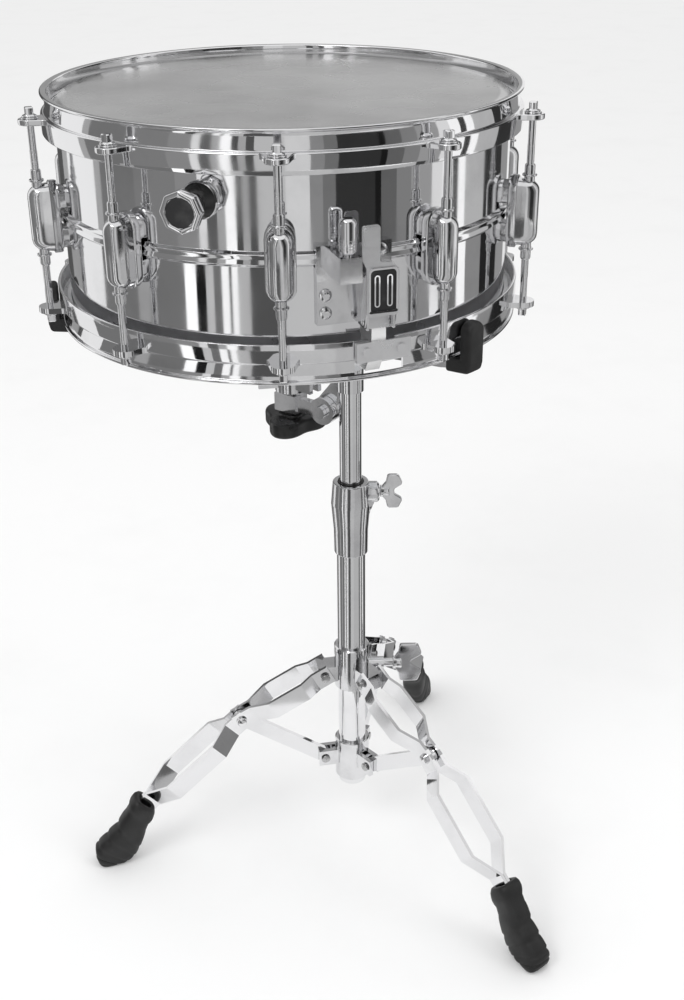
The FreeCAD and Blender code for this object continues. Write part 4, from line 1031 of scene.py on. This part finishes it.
def gripSection(across, drop, inset):
    size = basketSizes
    inner, outer, floor = size["clawInner"] + inset, size["clawOuter"] - inset, size["floor"]
    top = floor + size["rise"] - drop
    corners = [(inner - 13 + inset, floor - 13 + inset, 2.0), (outer - 1.5, floor - 11 + inset, 3.5),
               (outer, floor - 4, 3.0), (outer, top, 3.4), (inner + 0.4, top, 3.0),
               (inner + 0.4, floor - 0.2 - inset, 0.6),
               (inner - 13 + inset, floor - 0.2 - inset, 1.4)]
    return [Vector((spot[0], across * mm, spot[1])) for spot in rounded(corners, 4)]


def makeGrips():
    size = basketSizes
    sections = []
    for step in range(17):
        angle = math.radians(-90 + 180 * step / 16)
        lean = 1 - math.cos(angle)
        sections.append(gripSection(size["halfWidth"] * math.sin(angle), size["dome"] * lean, 1.3 * lean ** 2.5))
    centre = Matrix.Translation(Vector((drumCentre.x, drumCentre.y, 0)))
    for index, azimuth in enumerate(size["azimuths"], start=1):
        makePiece("rubber_grip_%d" % index, loft(sections), "rubber", "arm_%d_body" % index, ["basket_grip_%d" % index],
                  centre @ tilt(azimuth - 90, "Z"), sharp=55)


teethSizes = {"out": 36, "level": 444, "radius": 11.4, "count": 36}


def makeTiltTeeth():
    # the radial teeth of the two locking discs show as a notched band round each rim
    size = teethSizes
    tooth = rounded([(size["radius"], -0.55), (size["radius"] + 0.62, 0, 0.1), (size["radius"], 0.55)], 2)
    ring = repeated(prism(tooth, 0, 2.2), [360 / size["count"] * step for step in range(size["count"])])
    base = Matrix.Translation(Vector((drumCentre.x, drumCentre.y, 0))) @ tilt(basketSizes["tiltHeading"], "Z")
    fixed = moved(ring, slide(-size["out"], -0.2, size["level"]) @ upright)
    turning = moved(ring, slide(-size["out"], 0.2, size["level"]) @ alongY)
    makePiece("fixed_tilt_teeth", fixed, "castChrome", "swivel", place=base)
    makePiece("moving_tilt_teeth", turning, "castChrome", "basket", place=base)


makeBasketKnob()
makeGrips()
makeTiltTeeth()
print("basket pieces made")


# floor, reflected panels, light and camera

studio = {"floorSize": 30.0, "floorTone": 0.9, "panelReach": 1.75, "panelHeight": 2.6, "skyStrength": 0.95,
          "wedgeStart": 0.28, "wedgeLevel": 0.004, "split": 0.135}

# what polished metal mirrors: panels round the object as (from, to, brightness), counted from the front toward +X
highPanels = [(-180, -158, 0.34), (-158, -140, 0.09), (-140, -131, 0.41), (-131, -102, 0.94), (-102, -97, 0.41),
              (-97, -74, 0.19), (-74, -51, 0.22), (-51, -40, 0.27), (-40, -36, 0.8), (-36, -31, 0.12), (-31, -27, 0.41),
              (-27, -22, 1.15), (-22, -19, 0.08), (-19, -15.6, 0.41), (-15.6, -12, 0.09), (-12, 1, 0.54), (1, 12, 0.7),
              (12, 18, 0.27), (18, 24, 0.18), (24, 43, 0.035), (43, 46, 0.012), (46, 54, 0.13), (54, 62, 0.23),
              (62, 74, 0.34), (74, 81, 0.78), (81, 87.5, 1.05), (87.5, 91.5, 0.06), (91.5, 97, 1.1), (97, 114, 0.5),
              (114, 136, 0.036), (136, 151, 0.3), (151, 166, 0.9), (166, 180, 0.4)]
# and the nearer ones, low down, that the lower half of the drum and the stand see
lowPanels = [(-180, -160, 0.6), (-160, -142, 0.09), (-142, -128, 0.34), (-128, -123, 0.09), (-123, -103, 0.9),
             (-103, -78, 0.19), (-78, -70, 0.38), (-70, -50, 0.18), (-50, -44, 1.25), (-44, -39, 0.012),
             (-39, -35, 0.57), (-35, -31, 0.17), (-31, -27.3, 1.1), (-27.3, -26, 0.09), (-26, -23, 1.1),
             (-23, -17, 0.5), (-17, -1, 0.09),
             (-1, 22, 0.57), (22, 62, 0.5), (62, 67, 0.06), (67, 75, 0.28), (75, 81, 0.9), (81, 94, 0.17),
             (94, 101, 1.1), (101, 115, 0.27), (115, 135, 0.02), (135, 151, 0.3), (151, 170, 0.8), (170, 180, 0.3)]


def makeFloor():
    mesh = bpy.data.meshes.new("floor")
    half = studio["floorSize"] / 2
    mesh.from_pydata([(-half, -half, 0), (half, -half, 0), (half, half, 0), (-half, half, 0)], [], [(0, 1, 2, 3)])
    floor = bpy.data.objects.new("floor", mesh)
    floor.location.z = cadBox[0].z
    bpy.context.scene.collection.objects.link(floor)
    tone = studio["floorTone"]
    material = finish("pale_floor", (tone, tone, tone), (tone * 0.98,) * 3, (0.8, 0.95), grainScale=200.0,
                      extras={"Specular IOR Level": 0.0})
    mesh.materials.append(material)


def glow(name, strength):
    material = bpy.data.materials.new(name)
    material.use_nodes = True
    tree = material.node_tree
    tree.nodes.remove(tree.nodes["Principled BSDF"])
    light = addNode(tree, "ShaderNodeEmission", {"Color": (1, 1, 1, 1), "Strength": strength})
    tree.links.new(light.outputs[0], tree.nodes["Material Output"].inputs["Surface"])
    return material


def makePanel(name, first, last, strength, outline):
    # outline gives the panel's (distance, level) steps; it spans the angles first to last
    spots = []
    for reach, level in outline:
        for angle in (first, last):
            turn = math.radians(angle - 90)
            spots.append((reach * math.cos(turn), reach * math.sin(turn), level))
    mesh = bpy.data.meshes.new(name)
    mesh.from_pydata(spots, [], [(row, row + 1, row + 3, row + 2) for row in range(0, len(spots) - 2, 2)])
    mesh.materials.append(glow(name + "_glow", strength))
    panel = bpy.data.objects.new(name, mesh)
    panel.visible_camera = False
    panel.visible_diffuse = False
    panel.visible_shadow = False
    panel.visible_transmission = False
    bpy.context.scene.collection.objects.link(panel)


def makePanels():
    # only mirrored rays meet these, so they shape the reflections and cast nothing
    reach, low, split = studio["panelReach"], studio["wedgeLevel"], studio["split"]
    for index, (first, last, strength) in enumerate(highPanels):
        makePanel("high_panel_%d" % index, first, last, strength, [(reach, split), (reach, studio["panelHeight"])])
    near = [(studio["wedgeStart"], low), (reach, low), (reach, split)]
    for index, (first, last, strength) in enumerate(lowPanels):
        makePanel("low_panel_%d" % index, first, last, strength, near)


def makeLight(name, place, target, size, power):
    data = bpy.data.lights.new(name, "AREA")
    data.shape = "RECTANGLE"
    data.size = size[0]
    data.size_y = size[1]
    data.energy = power
    light = bpy.data.objects.new(name, data)
    light.location = place
    light.rotation_mode = "QUATERNION"
    light.rotation_quaternion = (Vector(target) - Vector(place)).to_track_quat("-Z", "Y")
    bpy.context.scene.collection.objects.link(light)
    return light


def makeWorld():
    world = bpy.data.worlds.new("studio")
    bpy.context.scene.world = world
    world.use_nodes = True
    world.node_tree.nodes["Background"].inputs["Color"].default_value = (1, 1, 1, 1)
    world.node_tree.nodes["Background"].inputs["Strength"].default_value = studio["skyStrength"]
    bpy.context.scene.view_settings.view_transform = "Standard"


cameraSizes = {"lens": 48.37, "sensor": 36, "pitch": 26.94, "yaw": 0.67, "roll": -0.51,
               "fromDrum": (0.0301, -1.0772, 0.2710)}


def makeCamera():
    size = cameraSizes
    data = bpy.data.cameras.new("camera")
    data.lens = size["lens"]
    data.sensor_width = size["sensor"]
    camera = bpy.data.objects.new("camera", data)
    pitch, yaw, roll = (math.radians(size[name]) for name in ("pitch", "yaw", "roll"))
    forward = Vector((math.sin(yaw) * math.cos(pitch), math.cos(yaw) * math.cos(pitch), -math.sin(pitch)))
    level = Vector((math.cos(yaw), -math.sin(yaw), 0))
    square = level.cross(forward)
    right = level * math.cos(roll) + square * math.sin(roll)
    up = square * math.cos(roll) - level * math.sin(roll)
    turn = Matrix((right, up, -forward)).transposed().to_4x4()
    camera.matrix_world = Matrix.Translation(drumCentre + Vector(size["fromDrum"])) @ turn
    bpy.context.scene.collection.objects.link(camera)
    bpy.context.scene.camera = camera


makeFloor()
makePanels()
makeWorld()
makeLight("key_light", (-1.4, -1.6, 2.6), drumCentre, (1.2, 1.2), 22)
makeLight("fill_light", (1.9, -1.0, 1.6), drumCentre, (0.9, 1.6), 9)
makeCamera()
print("studio ready")
